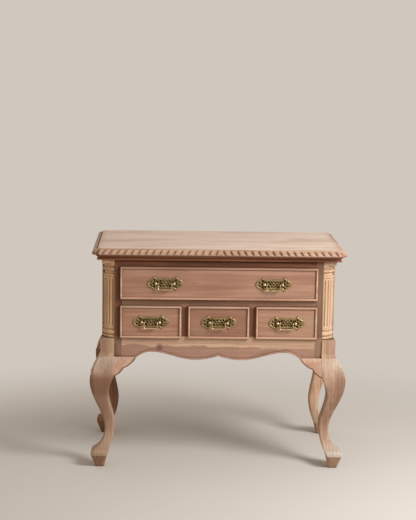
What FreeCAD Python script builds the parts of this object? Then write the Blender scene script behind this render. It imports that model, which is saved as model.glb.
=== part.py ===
import FreeCAD, Part
import math
import os

# A lowboy: a low chest of drawers on cabriole legs, with one wide drawer over three small ones,
# fluted quarter columns at the front corners and a gadrooned front edge on the top.
# Millimetres, +Z up, front towards -Y, origin on the floor under the middle of the case.

Vector = FreeCAD.Vector
X_AXIS = Vector(1, 0, 0)
Y_AXIS = Vector(0, 1, 0)
Z_AXIS = Vector(0, 0, 1)
CENTRE = Vector(0, 0, 0)

# Overall sizes
HEIGHT = 795.0
TOP_WIDTH = 900.0
TOP_DEPTH = 484.0
TOP_OVERHANG = 34.0
LEG_HEIGHT = 403.5

# The top and the mouldings at its edge
TOP_THICKNESS = 22.0
TOP_CANT = 26.0
TOP_STEP = 4.0
TOP_OVOLO = 13.0
TOP_FILLET_SHELF = 3.0
GADROON_DEPTH = 22.0
GADROON_FOOT = 3.0
GADROON_PITCH = 25.0
GADROON_LEAN = 11.0
HOLLOW_HALF = 4.6
HOLLOW_CUT = 3.6
HOLLOW_LIFT = 6.0
BED_HEIGHT = 19.0
BED_REACH = 19.0
BED_FILLET = 4.0
BED_COVE = 5.0
BED_BEAD = 8.0

# The front frame
STILE_WIDTH = 26.0
CORNER = 45.0
TOP_RAIL_HEIGHT = 49.0
MIDDLE_RAIL_HEIGHT = 34.5
APRON_HEIGHT = 75.0
DIVIDER_WIDTH = 35.0
RAIL_THICKNESS = 22.0
DIVIDER_DEPTH = 40.0

# The shaped apron: drops and places of its curve, measured from the top of the legs
APRON_CUSP_RISE = 5.5
APRON_LOBE_DROP = 10.0
APRON_ARCH_INSET = 53.0
APRON_ARCH_RISE = 18.5
APRON_FOLD_RUN = 76.0
APRON_END_DROP = 4.0

# Sides and back
SIDE_THICKNESS = 20.0
SIDE_RECESS = 3.0
SIDE_ARCH_RISE = 33.5
SIDE_ARCH_MARGIN = 62.0
BACK_THICKNESS = 14.0
BACK_RECESS = 10.0
BACK_RAISE = 21.5

# Quarter columns and the plinth blocks under them
PLINTH_HEIGHT = 66.5
PLINTH_REACH = 4.0
PLINTH_FLARE = 14.0
PLINTH_BEVEL = 3.5
SHAFT_RADIUS = 40.0
RING_RADIUS = 44.0
NECK_RADIUS = 38.5
RING_STEP = 1.0
SCOTIA_DEPTH = 2.5
BASE_HEIGHT = 40.0
CAPITAL_HEIGHT = 49.0
BLOCK_BELOW_BED = 14.0
COLUMN_FLUTES = 5
COLUMN_FLUTE_RADIUS = 3.0
COLUMN_FLUTE_DEPTH = 2.4
COLUMN_FLUTE_MARGIN = 6.0

# Cabriole legs: heights, and reaches outward from the case faces
KNEE_DROP = 83.5
KNEE_REACH = 41.0
LEG_TOP_REACH = 9.5
KNEE_BLOCK_HEIGHT = 65.0
KNEE_BLOCK_LENGTH = 76.0
KNEE_BLOCK_TIP = 0.3
CALF_DROP = 131.5
CALF_INSET = 25.5
ANKLE_FRONT_Z = 132.0
ANKLE_FRONT_INSET = 11.0
ANKLE_BACK_Z = 147.0
ANKLE_BACK_INSET = 47.5
PAD_TOP_Z = 66.0
PAD_TOP_REACH = 28.0
INSTEP_TURN = math.radians(75)
PAD_RIM_Z = 45.0
PAD_RIM_REACH = 37.0
PAD_RIM_INSET = 21.5
FOOT_REACH = 19.0
FOOT_INSET = 10.5
FOOT_CANT = 9.0
KNEE_ROUND = 15.0
ANKLE_ROUND = 8.5
ARRIS = 1.5
DOWEL_RADIUS = 11.0
DOWEL_LENGTH = 40.0
DOWEL_CLEARANCE = 0.15
GLUE_LINE = 0.2

# Drawers
LIP_OVERLAP = 6.0
LIP_THICKNESS = 12.0
LIP_GAP = 0.3
FRONT_INNER = 13.0
RIM_WIDTH = 7.5
RIM_HEIGHT = 5.0
DRAWER_SIDE = 12.0
DRAWER_BACK = 12.0
DRAWER_BOTTOM = 6.0
BOTTOM_RAISE = 8.0
GROOVE_DEPTH = 5.0
GROOVE_CLEARANCE = 0.15
DRAWER_PLAY = 1.5
DRAWER_REST = 0.3
DRAWER_HEADROOM = 9.0
DRAWER_REAR_GAP = 13.0
TAIL_LENGTH = 9.0
TAIL_SLOPE = 0.17
TAIL_PITCH = 30.0
TAIL_WIDTH = 20.0

# Runners, guides, kickers and the dust panel inside the case
RUNNER_THICKNESS = 20.0
RUNNER_WIDTH = 27.0
GUIDE_HEIGHT = 32.0
DUST_PANEL = 6.0
DUST_DROP = 8.0

# Pulls: pierced backplate, two posts with nuts, and a swinging bail
BORE = 64.0
PULL_INSET = 153.0
PLATE_HALF = 63.5
PLATE_BAND = 17.5
PLATE_EAR_X = 38.5
PLATE_EAR = 26.0
PLATE_THICKNESS = 2.0
POST_STANDOFF = 10.0
BALL_RADIUS = 5.0
POST_NECK = 3.0
COLLAR_RADIUS = 5.6
COLLAR_HEIGHT = 2.0
SHANK_RADIUS = 2.4
SHANK_CLEARANCE = 0.2
NUT_ACROSS = 9.0
NUT_HEIGHT = 3.0
NUT_CLEARANCE = 0.1
BAIL_RADIUS = 2.3
BAIL_ARM_X = 24.0
BAIL_DROP = 21.0
BAIL_BEND = 5.0
BAIL_END = 2.5
PIN_RADIUS = 1.5
PIN_CLEARANCE = 0.08
PIN_DEPTH = 5.5
PIERCING = 4.3
PIERCING_SMALL = 3.2

# Places that follow from the sizes above
half_case = TOP_WIDTH / 2 - TOP_OVERHANG
half_depth = TOP_DEPTH / 2 - TOP_OVERHANG
case_top = HEIGHT - TOP_THICKNESS
front_face = -half_depth
opening_half = half_case - CORNER - STILE_WIDTH
wide_top = case_top - TOP_RAIL_HEIGHT
small_bottom = LEG_HEIGHT + APRON_HEIGHT
opening_height = (wide_top - small_bottom - MIDDLE_RAIL_HEIGHT) / 2
wide_bottom = wide_top - opening_height
small_top = small_bottom + opening_height
small_width = (2 * opening_half - 2 * DIVIDER_WIDTH) / 3
small_pitch = small_width + DIVIDER_WIDTH
rail_back = front_face + RAIL_THICKNESS
divider_back = front_face + DIVIDER_DEPTH
post_back = front_face + CORNER + STILE_WIDTH
rear_post_front = half_depth - CORNER
side_inner = half_case - SIDE_RECESS - SIDE_THICKNESS
back_front = half_depth - BACK_RECESS - BACK_THICKNESS
plinth_top = LEG_HEIGHT + PLINTH_HEIGHT
bed_bottom = case_top - BED_HEIGHT
block_bottom = bed_bottom - BLOCK_BELOW_BED
shaft_bottom = plinth_top + BASE_HEIGHT
shaft_top = block_bottom - CAPITAL_HEIGHT


def box(x0, x1, y0, y1, z0, z1):
    """A block between two corners."""
    return Part.makeBox(x1 - x0, y1 - y0, z1 - z0, Vector(x0, y0, z0))


def prism(points, sweep):
    """A closed outline of straight edges, pushed along a vector."""
    wire = Part.makePolygon(points + [points[0]])
    return Part.Face(wire).extrude(sweep)


def line(a, b):
    return Part.LineSegment(a, b).toShape()


def arc(a, mid, b):
    return Part.Arc(a, mid, b).toShape()


def curve(points):
    """One smooth curve through the points."""
    spline = Part.BSplineCurve()
    spline.interpolate(points)
    return spline.toShape()


def solid_from(edges, sweep):
    """A closed outline of edges in order, pushed along a vector."""
    return Part.Face(Part.Wire(edges)).extrude(sweep)


def left_of(shape):
    """The left-hand twin of a right-hand piece."""
    return shape.mirror(CENTRE, X_AXIS)


def rear_of(shape):
    """The rear twin of a front piece."""
    return shape.mirror(CENTRE, Y_AXIS)


def write(name, *pieces):
    """One file per node, with identical loose pieces of a node kept as separate solids."""
    shape = pieces[0] if len(pieces) == 1 else Part.makeCompound(list(pieces))
    shape.exportStep(os.path.join("parts", name + ".step"))


# Top board and its gadrooned front edge

def top_outline(inset, z):
    """The top's outline with its four canted corners, drawn in by inset."""
    x = TOP_WIDTH / 2 - inset
    y = TOP_DEPTH / 2 - inset
    cant = TOP_CANT - inset * (2 - math.sqrt(2))
    corners = [(x, y - cant), (x - cant, y), (cant - x, y), (-x, y - cant),
               (-x, cant - y), (cant - x, -y), (x - cant, -y), (x, cant - y)]
    return [Vector(a, b, z) for a, b in corners]


def top_board():
    """A board with an ovolo and fillet run round its edge, rebated at the front for the gadroon."""
    ovolo_top = HEIGHT - TOP_STEP
    slab = prism(top_outline(0, case_top), Z_AXIS * (TOP_THICKNESS - TOP_STEP))
    rim = [e for e in slab.Edges if all(abs(v.Z - ovolo_top) < 1e-6 for v in e.Vertexes)]
    slab = slab.makeFillet(TOP_OVOLO, rim)
    field = prism(top_outline(TOP_OVOLO + TOP_FILLET_SHELF, ovolo_top), Z_AXIS * TOP_STEP)
    board = slab.fuse(field).removeSplitter()
    half = TOP_WIDTH / 2 - TOP_CANT
    front = -TOP_DEPTH / 2
    return board.cut(box(-half, half, front - 1, front + GADROON_DEPTH, case_top - 1, HEIGHT + 1))


def gadroon_edge():
    """A quarter-round strip with slanting V-cut hollows, which lean outward from the middle."""
    half = TOP_WIDTH / 2 - TOP_CANT
    front = -TOP_DEPTH / 2
    back = front + GADROON_DEPTH
    round_foot = case_top + GADROON_FOOT
    rise = HEIGHT - round_foot
    centre = Vector(-half, back, round_foot)
    mid = centre + Vector(0, -GADROON_DEPTH, rise) * math.sqrt(0.5)
    start = Vector(-half, front, round_foot)
    end = Vector(-half, back, HEIGHT)
    outline = [arc(start, mid, end), line(end, Vector(-half, back, case_top)),
               line(Vector(-half, back, case_top), Vector(-half, front, case_top)),
               line(Vector(-half, front, case_top), start)]
    strip = solid_from(outline, X_AXIS * (2 * half))
    outward = Vector(0, -rise, GADROON_DEPTH).normalize()
    count = int((half - GADROON_PITCH / 2) / GADROON_PITCH) + 1
    length = 2 * (GADROON_DEPTH + GADROON_LEAN)
    brim = HOLLOW_HALF * (1 + HOLLOW_LIFT / HOLLOW_CUT)
    hollows = []
    for side in (-1, 1):
        run = Vector(side * GADROON_LEAN, -GADROON_DEPTH, -rise).normalize()
        across = run.cross(outward)
        for i in range(count):
            at = Vector(side * (i + 0.5) * GADROON_PITCH, mid.y, mid.z) - run * (length / 2)
            section = [at - outward * HOLLOW_CUT, at + outward * HOLLOW_LIFT + across * brim,
                       at + outward * HOLLOW_LIFT - across * brim]
            hollows.append(prism(section, run * length))
    return strip.cut(Part.makeCompound(hollows))


def bed_length(to_point, sweep):
    """A length of bed moulding: a fillet over a cove over a bead. to_point places reach and height."""
    shelf = case_top - BED_FILLET
    bead_top = bed_bottom + BED_BEAD
    lip = BED_REACH - 1
    inner = lip - BED_COVE
    p = [to_point(0, bed_bottom), to_point(inner, bed_bottom), to_point(inner, bead_top),
         to_point(lip, shelf), to_point(BED_REACH, shelf), to_point(BED_REACH, case_top),
         to_point(0, case_top)]
    bead_mid = to_point(inner + BED_BEAD * 0.45, (bed_bottom + bead_top) / 2)
    cove_mid = to_point(inner + BED_COVE * 0.32, bead_top + (shelf - bead_top) * 0.68)
    edges = [line(p[0], p[1]), arc(p[1], bead_mid, p[2]), arc(p[2], cove_mid, p[3]),
             line(p[3], p[4]), line(p[4], p[5]), line(p[5], p[6]), line(p[6], p[0])]
    return solid_from(edges, sweep)


def bed_moulding():
    """Three lengths, mitred at the front corners and cut square at the back."""
    reach = BED_REACH + 5
    long = half_case + reach
    front = bed_length(lambda r, z: Vector(-long, front_face - r, z), X_AXIS * (2 * long))
    right = bed_length(lambda r, z: Vector(half_case + r, front_face - reach, z),
                       Y_AXIS * (2 * half_depth + reach))
    low = bed_bottom - 1
    mitre = prism([Vector(-long, front_face - reach, low), Vector(long, front_face - reach, low),
                   Vector(half_case - reach, front_face + reach, low),
                   Vector(reach - half_case, front_face + reach, low)], Z_AXIS * (BED_HEIGHT + 2))
    right = right.cut(mitre)
    return front.common(mitre), right, left_of(right)


# Front frame, posts, sides and back

def front_post():
    """Right front corner post: an L in plan, whose outer corner holds the quarter column."""
    post = box(opening_half, half_case, front_face, post_back, LEG_HEIGHT, case_top)
    corner = box(half_case - CORNER, half_case + 1, front_face - 1, front_face + CORNER,
                 LEG_HEIGHT - 1, case_top + 1)
    return post.cut(corner)


def dowel_hole(x, y):
    """The blind hole that takes a leg's dowel."""
    return Part.makeCylinder(DOWEL_RADIUS + DOWEL_CLEARANCE, DOWEL_LENGTH + 2,
                             Vector(x, y, LEG_HEIGHT - 1))


def rear_post():
    post = box(half_case - CORNER, half_case, rear_post_front, half_depth, LEG_HEIGHT, case_top)
    return post.cut(dowel_hole(half_case - CORNER / 2, half_depth - CORNER / 2))


def plinth_block():
    """Right plinth block under the column, a little proud: bevelled at its top, flared to the leg below."""
    x0 = half_case - CORNER
    y1 = front_face + CORNER
    block = box(x0, half_case + PLINTH_REACH, front_face - PLINTH_REACH, y1, LEG_HEIGHT, plinth_top)
    proud = [e for e in block.Edges
             if all(abs(v.Z - plinth_top) < 1e-6 for v in e.Vertexes)
             and (e.CenterOfMass.x > half_case or e.CenterOfMass.y < front_face)]
    block = block.makeChamfer(PLINTH_BEVEL, proud)

    def square(reach, z):
        corners = [Vector(x0, y1, z), Vector(half_case + reach, y1, z),
                   Vector(half_case + reach, front_face - reach, z), Vector(x0, front_face - reach, z)]
        return Part.makePolygon(corners + [corners[0]])

    flare_top = square(PLINTH_REACH, LEG_HEIGHT + PLINTH_FLARE)
    flare = Part.makeLoft([square(LEG_TOP_REACH, LEG_HEIGHT), flare_top], True, True)
    return block.fuse(flare).removeSplitter().cut(dowel_hole(x0 + CORNER / 2, y1 - CORNER / 2))


def column_section(axis):
    """Half outline of the turned column: base rings, shaft, necking and capital."""
    def at(radius, z):
        return axis + Vector(radius, 0, z)

    def ring(setback, low, high):
        bulge = min(RING_RADIUS - NECK_RADIUS - setback, 0.45 * (high - low))
        mid = at(NECK_RADIUS + bulge, (low + high) / 2)
        return arc(at(NECK_RADIUS, low), mid, at(NECK_RADIUS, high))

    def scotia(low, high):
        mid = at(NECK_RADIUS - SCOTIA_DEPTH, (low + high) / 2)
        return arc(at(NECK_RADIUS, low), mid, at(NECK_RADIUS, high))

    base = BASE_HEIGHT
    cap = CAPITAL_HEIGHT
    lower_torus = plinth_top + base * 0.25
    upper_low = plinth_top + base * 0.31
    upper_high = plinth_top + base * 0.72
    bead_low = plinth_top + base * 0.81
    neck_high = shaft_top + cap * 0.19
    bell_low = shaft_top + cap * 0.44
    bell_high = shaft_top + cap * 0.66
    abacus_low = shaft_top + cap * 0.84
    return [
        line(at(0, plinth_top), at(NECK_RADIUS, plinth_top)),
        ring(0, plinth_top, lower_torus),
        line(at(NECK_RADIUS, lower_torus), at(NECK_RADIUS, upper_low)),
        ring(RING_STEP, upper_low, upper_high),
        line(at(NECK_RADIUS, upper_high), at(NECK_RADIUS, bead_low)),
        ring(2 * RING_STEP, bead_low, shaft_bottom),
        line(at(NECK_RADIUS, shaft_bottom), at(SHAFT_RADIUS, shaft_bottom)),
        line(at(SHAFT_RADIUS, shaft_bottom), at(SHAFT_RADIUS, shaft_top)),
        line(at(SHAFT_RADIUS, shaft_top), at(NECK_RADIUS, shaft_top)),
        ring(2 * RING_STEP, shaft_top, neck_high),
        scotia(neck_high, bell_low),
        ring(RING_STEP, bell_low, bell_high),
        line(at(NECK_RADIUS, bell_high), at(NECK_RADIUS, abacus_low)),
        line(at(NECK_RADIUS, abacus_low), at(RING_RADIUS, abacus_low)),
        line(at(RING_RADIUS, abacus_low), at(RING_RADIUS, block_bottom)),
        line(at(RING_RADIUS, block_bottom), at(0, block_bottom)),
        line(at(0, block_bottom), at(0, plinth_top)),
    ]


def quarter_column():
    """Right quarter column: a quarter turning with stopped flutes, under a square capital block."""
    axis = Vector(half_case - CORNER, front_face + CORNER, 0)
    section = Part.Face(Part.Wire(column_section(axis)))
    turned = section.revolve(axis, Z_AXIS, -90)
    low = shaft_bottom + COLUMN_FLUTE_MARGIN + COLUMN_FLUTE_RADIUS
    high = shaft_top - COLUMN_FLUTE_MARGIN - COLUMN_FLUTE_RADIUS
    centre_radius = SHAFT_RADIUS + COLUMN_FLUTE_RADIUS - COLUMN_FLUTE_DEPTH
    flutes = []
    for i in range(COLUMN_FLUTES):
        angle = -math.radians(90 * (i + 0.5) / COLUMN_FLUTES)
        at = axis + Vector(math.cos(angle), math.sin(angle), 0) * centre_radius
        gouge = Part.makeCylinder(COLUMN_FLUTE_RADIUS, high - low, at + Z_AXIS * low)
        for end in (low, high):
            gouge = gouge.fuse(Part.makeSphere(COLUMN_FLUTE_RADIUS, at + Z_AXIS * end))
        flutes.append(gouge)
    turned = turned.cut(Part.makeCompound(flutes))
    block = box(half_case - CORNER, half_case, front_face, front_face + CORNER, block_bottom, case_top)
    return turned.fuse(block).removeSplitter()


def apron():
    """The front's lower rail, its edge sawn to a cusp, two lobes and two arches."""
    y = front_face

    def at(x, drop):
        return Vector(x, y, LEG_HEIGHT - drop)

    end_x = half_case - CORNER - KNEE_BLOCK_LENGTH - 2 * GLUE_LINE
    arch_x = end_x - APRON_ARCH_INSET
    lobe_x = (arch_x - APRON_FOLD_RUN) / 2
    fold = (lobe_x + arch_x) / 2
    fold_drop = (APRON_LOBE_DROP - APRON_ARCH_RISE) / 2
    lobe_fall = APRON_LOBE_DROP + APRON_CUSP_RISE
    right = [at(0, -APRON_CUSP_RISE), at(lobe_x * 0.33, lobe_fall * 0.68 - APRON_CUSP_RISE),
             at(lobe_x, APRON_LOBE_DROP), at(fold, fold_drop), at(arch_x, -APRON_ARCH_RISE),
             at(arch_x + APRON_ARCH_INSET * 0.62, -APRON_ARCH_RISE * 0.55), at(end_x, APRON_END_DROP)]
    left = [Vector(-p.x, p.y, p.z) for p in reversed(right)]
    corners = [at(end_x, 0), at(opening_half, 0), Vector(opening_half, y, small_bottom),
               Vector(-opening_half, y, small_bottom), at(-opening_half, 0), at(-end_x, 0)]
    edges = [curve(right), line(right[-1], corners[0])]
    edges += [line(a, b) for a, b in zip(corners, corners[1:])]
    edges += [line(corners[-1], left[0]), curve(left)]
    return solid_from(edges, Y_AXIS * RAIL_THICKNESS)


def side_panel():
    """Right side board between its posts, with a shallow arch sawn in its lower edge."""
    low = LEG_HEIGHT
    panel = box(side_inner, side_inner + SIDE_THICKNESS, post_back, rear_post_front, low, case_top)
    a = Vector(side_inner - 1, post_back + SIDE_ARCH_MARGIN, low)
    b = Vector(side_inner - 1, rear_post_front - SIDE_ARCH_MARGIN, low)
    mid = Vector(a.x, (a.y + b.y) / 2, low + SIDE_ARCH_RISE)
    arch = solid_from([arc(a, mid, b), line(b, a)], X_AXIS * (SIDE_THICKNESS + 2))
    return panel.cut(arch)


def divider(side):
    """An upright between two small drawers."""
    x = side * small_pitch / 2
    half = DIVIDER_WIDTH / 2
    return box(x - half, x + half, front_face, divider_back, small_bottom, small_top)


# Cabriole legs and knee blocks

knee_z = LEG_HEIGHT - KNEE_DROP
block_foot_z = LEG_HEIGHT - KNEE_BLOCK_HEIGHT
calf_z = LEG_HEIGHT - CALF_DROP


def ease(t):
    """A smooth step from 0 to 1."""
    return t * t * (3 - 2 * t)


def leg_reach(z):
    """How far the leg's outer faces stand out from the case at a height: knee, ankle, then pad."""
    if z >= knee_z:
        t = (LEG_HEIGHT - z) / KNEE_DROP
        return LEG_TOP_REACH + (KNEE_REACH - LEG_TOP_REACH) * math.sin(math.pi / 2 * t)
    if z >= ANKLE_FRONT_Z:
        t = (knee_z - z) / (knee_z - ANKLE_FRONT_Z)
        return KNEE_REACH - (KNEE_REACH + ANKLE_FRONT_INSET) * ease(t)
    t = (ANKLE_FRONT_Z - z) / (ANKLE_FRONT_Z - PAD_TOP_Z)
    turn = math.asin(min(1.0, t) * math.sin(INSTEP_TURN))
    swell = (1 - math.cos(turn)) / (1 - math.cos(INSTEP_TURN))
    return -ANKLE_FRONT_INSET + (PAD_TOP_REACH + ANKLE_FRONT_INSET) * swell


def leg_inset(z):
    """How far inside the case faces the leg's inner faces lie at a height."""
    if z >= block_foot_z:
        return CORNER
    if z >= calf_z:
        t = (block_foot_z - z) / (block_foot_z - calf_z)
        return CORNER - (CORNER - CALF_INSET) * math.sin(math.pi / 2 * t)
    if z >= ANKLE_BACK_Z:
        t = (calf_z - z) / (calf_z - ANKLE_BACK_Z)
        return CALF_INSET + (ANKLE_BACK_INSET - CALF_INSET) * ease(t)
    t = (ANKLE_BACK_Z - z) / (ANKLE_BACK_Z - PAD_RIM_Z)
    return ANKLE_BACK_INSET - (ANKLE_BACK_INSET - PAD_RIM_INSET) * t ** 1.7


def leg_section(z, low, high, outer_round, side_round):
    """A square section with rounded corners, from low to high on both of the leg's axes."""
    x0 = half_case + low
    x1 = half_case + high
    y0 = half_depth + low
    y1 = half_depth + high
    radii = [side_round, side_round, outer_round, side_round]
    corners = [(x0, y0), (x1, y0), (x1, y1), (x0, y1)]
    into = [(1, 1), (-1, 1), (-1, -1), (1, -1)]
    starts = [(0, 1), (-1, 0), (0, -1), (1, 0)]
    ends = [(1, 0), (0, 1), (-1, 0), (0, -1)]
    far = 1 - math.sqrt(0.5)
    arcs = []
    for (x, y), r, (i, j), (a, b), (c, d) in zip(corners, radii, into, starts, ends):
        first = Vector(x + a * r, y + b * r, z)
        last = Vector(x + c * r, y + d * r, z)
        arcs.append((first, Vector(x + i * r * far, y + j * r * far, z), last))
    edges = []
    for k, (first, mid, last) in enumerate(arcs):
        edges.append(arc(first, mid, last))
        edges.append(line(last, arcs[(k + 1) % 4][0]))
    return Part.Wire(edges)


def shaft_section(z):
    """A section of the leg between its top and the top of its pad."""
    t = min(1.0, (LEG_HEIGHT - z) / KNEE_DROP)
    fall = min(1.0, max(0.0, (knee_z - z) / (knee_z - ANKLE_FRONT_Z)))
    outer = ARRIS + (KNEE_ROUND - ARRIS) * t - (KNEE_ROUND - ANKLE_ROUND) * fall
    below = min(1.0, max(0.0, (block_foot_z - z) / (block_foot_z - calf_z)))
    side = ARRIS + (ANKLE_ROUND - ARRIS) * below
    return leg_section(z, -leg_inset(z), leg_reach(z), outer, side)


def between(first, last, parts):
    """Values from first to last in equal steps, both ends included."""
    return [first + (last - first) * i / parts for i in range(parts + 1)]


def leg():
    """Rear right leg: bandsawn cabriole from the knee to a pad, on a tapered foot with canted corners."""
    knee = Part.makeLoft([shaft_section(z) for z in between(LEG_HEIGHT, block_foot_z, 4)], True, False)
    heights = between(block_foot_z, calf_z, 3) + between(calf_z, ANKLE_FRONT_Z, 5)[1:]
    for turn in between(0, INSTEP_TURN, 5)[1:]:
        share = math.sin(turn) / math.sin(INSTEP_TURN)
        heights.append(ANKLE_FRONT_Z - (ANKLE_FRONT_Z - PAD_TOP_Z) * share)
    shin = Part.makeLoft([shaft_section(z) for z in heights], True, False)
    shoulder_z = PAD_TOP_Z - (PAD_TOP_Z - PAD_RIM_Z) * 0.35
    shoulder_reach = PAD_TOP_REACH + (PAD_RIM_REACH - PAD_TOP_REACH) * 0.8
    pad = Part.makeLoft([
        shaft_section(PAD_TOP_Z),
        leg_section(shoulder_z, -leg_inset(shoulder_z), shoulder_reach, ANKLE_ROUND, ANKLE_ROUND),
        leg_section(PAD_RIM_Z, -leg_inset(PAD_RIM_Z), PAD_RIM_REACH, ANKLE_ROUND, ANKLE_ROUND),
    ], True, True)
    foot = Part.makeLoft([foot_section(PAD_RIM_Z, -PAD_RIM_INSET, PAD_RIM_REACH, FOOT_CANT),
                          foot_section(0, -FOOT_INSET, FOOT_REACH, FOOT_CANT / 2)], True, True)
    dowel = Part.makeCylinder(DOWEL_RADIUS, DOWEL_LENGTH,
                              Vector(half_case - CORNER / 2, half_depth - CORNER / 2, LEG_HEIGHT))
    return knee.multiFuse([shin, pad, foot, dowel]).removeSplitter()


def foot_section(z, low, high, cant):
    """A square with its corners cut off, for the tapered foot."""
    x0, x1 = half_case + low, half_case + high
    y0, y1 = half_depth + low, half_depth + high
    points = [(x0 + cant, y0), (x1 - cant, y0), (x1, y0 + cant), (x1, y1 - cant),
              (x1 - cant, y1), (x0 + cant, y1), (x0, y1 - cant), (x0, y0 + cant)]
    vectors = [Vector(x, y, z) for x, y in points]
    return Part.makePolygon(vectors + [vectors[0]])


def knee_block():
    """Rear right-hand block: follows the knee beside the leg and dies away towards the middle."""
    x0 = half_case - CORNER - GLUE_LINE
    depth = RAIL_THICKNESS

    def face_at(x, share):
        heights = between(LEG_HEIGHT, block_foot_z, 4)
        bulge = [half_depth + LEG_TOP_REACH + (leg_reach(z) - LEG_TOP_REACH) * share for z in heights]
        bow = [Vector(x, y, z) for y, z in zip(bulge, heights)]
        low_back = Vector(x, half_depth - depth, block_foot_z)
        high_back = Vector(x, half_depth - depth, LEG_HEIGHT)
        return Part.Wire([curve(bow), line(bow[-1], low_back), line(low_back, high_back),
                          line(high_back, bow[0])])

    body = Part.makeLoft([face_at(x0, 1.0), face_at(x0 - KNEE_BLOCK_LENGTH, KNEE_BLOCK_TIP)], True, True)

    def at(along, drop):
        return Vector(x0 - along * KNEE_BLOCK_LENGTH, half_depth - depth - 1,
                      LEG_HEIGHT - drop * KNEE_BLOCK_HEIGHT)

    tip = at(1.0, APRON_END_DROP / KNEE_BLOCK_HEIGHT)
    notch = at(0.44, 0.58)
    heel = at(0, 1.0)
    outline = [line(at(0, 0), at(1.0, 0)), line(at(1.0, 0), tip), arc(tip, at(0.81, 0.33), notch),
               arc(notch, at(0.27, 0.81), heel), line(heel, at(0, 0))]
    return body.common(solid_from(outline, Y_AXIS * (depth + KNEE_REACH + 10)))


def turned_to_side(block):
    """A rear knee block set against the same leg's other face, along the side."""
    at = block.copy()
    at.translate(Vector(-half_case, -half_depth, 0))
    swapped = at.mirror(CENTRE, Vector(1, -1, 0))
    swapped.translate(Vector(half_case, half_depth, 0))
    return swapped


# Drawer supports inside the case

def runners():
    """Strips that carry the drawer sides: a pair above, four below."""
    upper = box(opening_half - RUNNER_WIDTH, opening_half, divider_back, back_front,
                wide_bottom - RUNNER_THICKNESS, wide_bottom)
    outer = box(opening_half - RUNNER_WIDTH, opening_half, rail_back, back_front,
                small_bottom - RUNNER_THICKNESS, small_bottom)
    half = DIVIDER_WIDTH / 2 + RUNNER_WIDTH
    x = small_pitch / 2
    inner = box(x - half, x + half, rail_back, back_front, small_bottom - RUNNER_THICKNESS, small_bottom)
    return [piece for right in (upper, outer, inner) for piece in (right, left_of(right))]


def guides():
    """Strips that steer the drawers: against the sides, and along the dividers."""
    pieces = []
    for level in (wide_bottom, small_bottom):
        side = box(opening_half, side_inner, post_back, rear_post_front,
                   level - RUNNER_THICKNESS, level + GUIDE_HEIGHT)
        pieces += [side, left_of(side)]
    half = DIVIDER_WIDTH / 2
    x = small_pitch / 2
    middle = box(x - half, x + half, divider_back, back_front, small_bottom, small_bottom + GUIDE_HEIGHT)
    return pieces + [middle, left_of(middle)]


def kickers():
    """Strips over the wide drawer that stop it tipping when it is pulled out."""
    right = box(opening_half - RUNNER_WIDTH, opening_half, rail_back, back_front,
                wide_top, wide_top + RUNNER_THICKNESS)
    return right, left_of(right)


def dust_panel():
    """The thin panel between the two rows of drawers."""
    half = opening_half - RUNNER_WIDTH
    high = wide_bottom - DUST_DROP
    return box(-half, half, divider_back, back_front, high - DUST_PANEL, high)


# Drawers

def tails(x_side, out, y, low, high, grow):
    """Dovetails on the front end of a drawer side, for its lapped joint with the front."""
    count = int((high - low - TAIL_WIDTH) / TAIL_PITCH) + 1
    start = (low + high) / 2 - (count - 1) * TAIL_PITCH / 2
    pieces = []
    for i in range(count):
        z = start + i * TAIL_PITCH
        root = TAIL_WIDTH / 2 - TAIL_LENGTH * TAIL_SLOPE + grow
        tip = TAIL_WIDTH / 2 + grow
        points = [Vector(x_side, y, z - root), Vector(x_side, y - TAIL_LENGTH - grow, z - tip),
                  Vector(x_side, y - TAIL_LENGTH - grow, z + tip), Vector(x_side, y, z + root)]
        pieces.append(prism(points, X_AXIS * (out * DRAWER_SIDE)))
    return pieces


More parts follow.
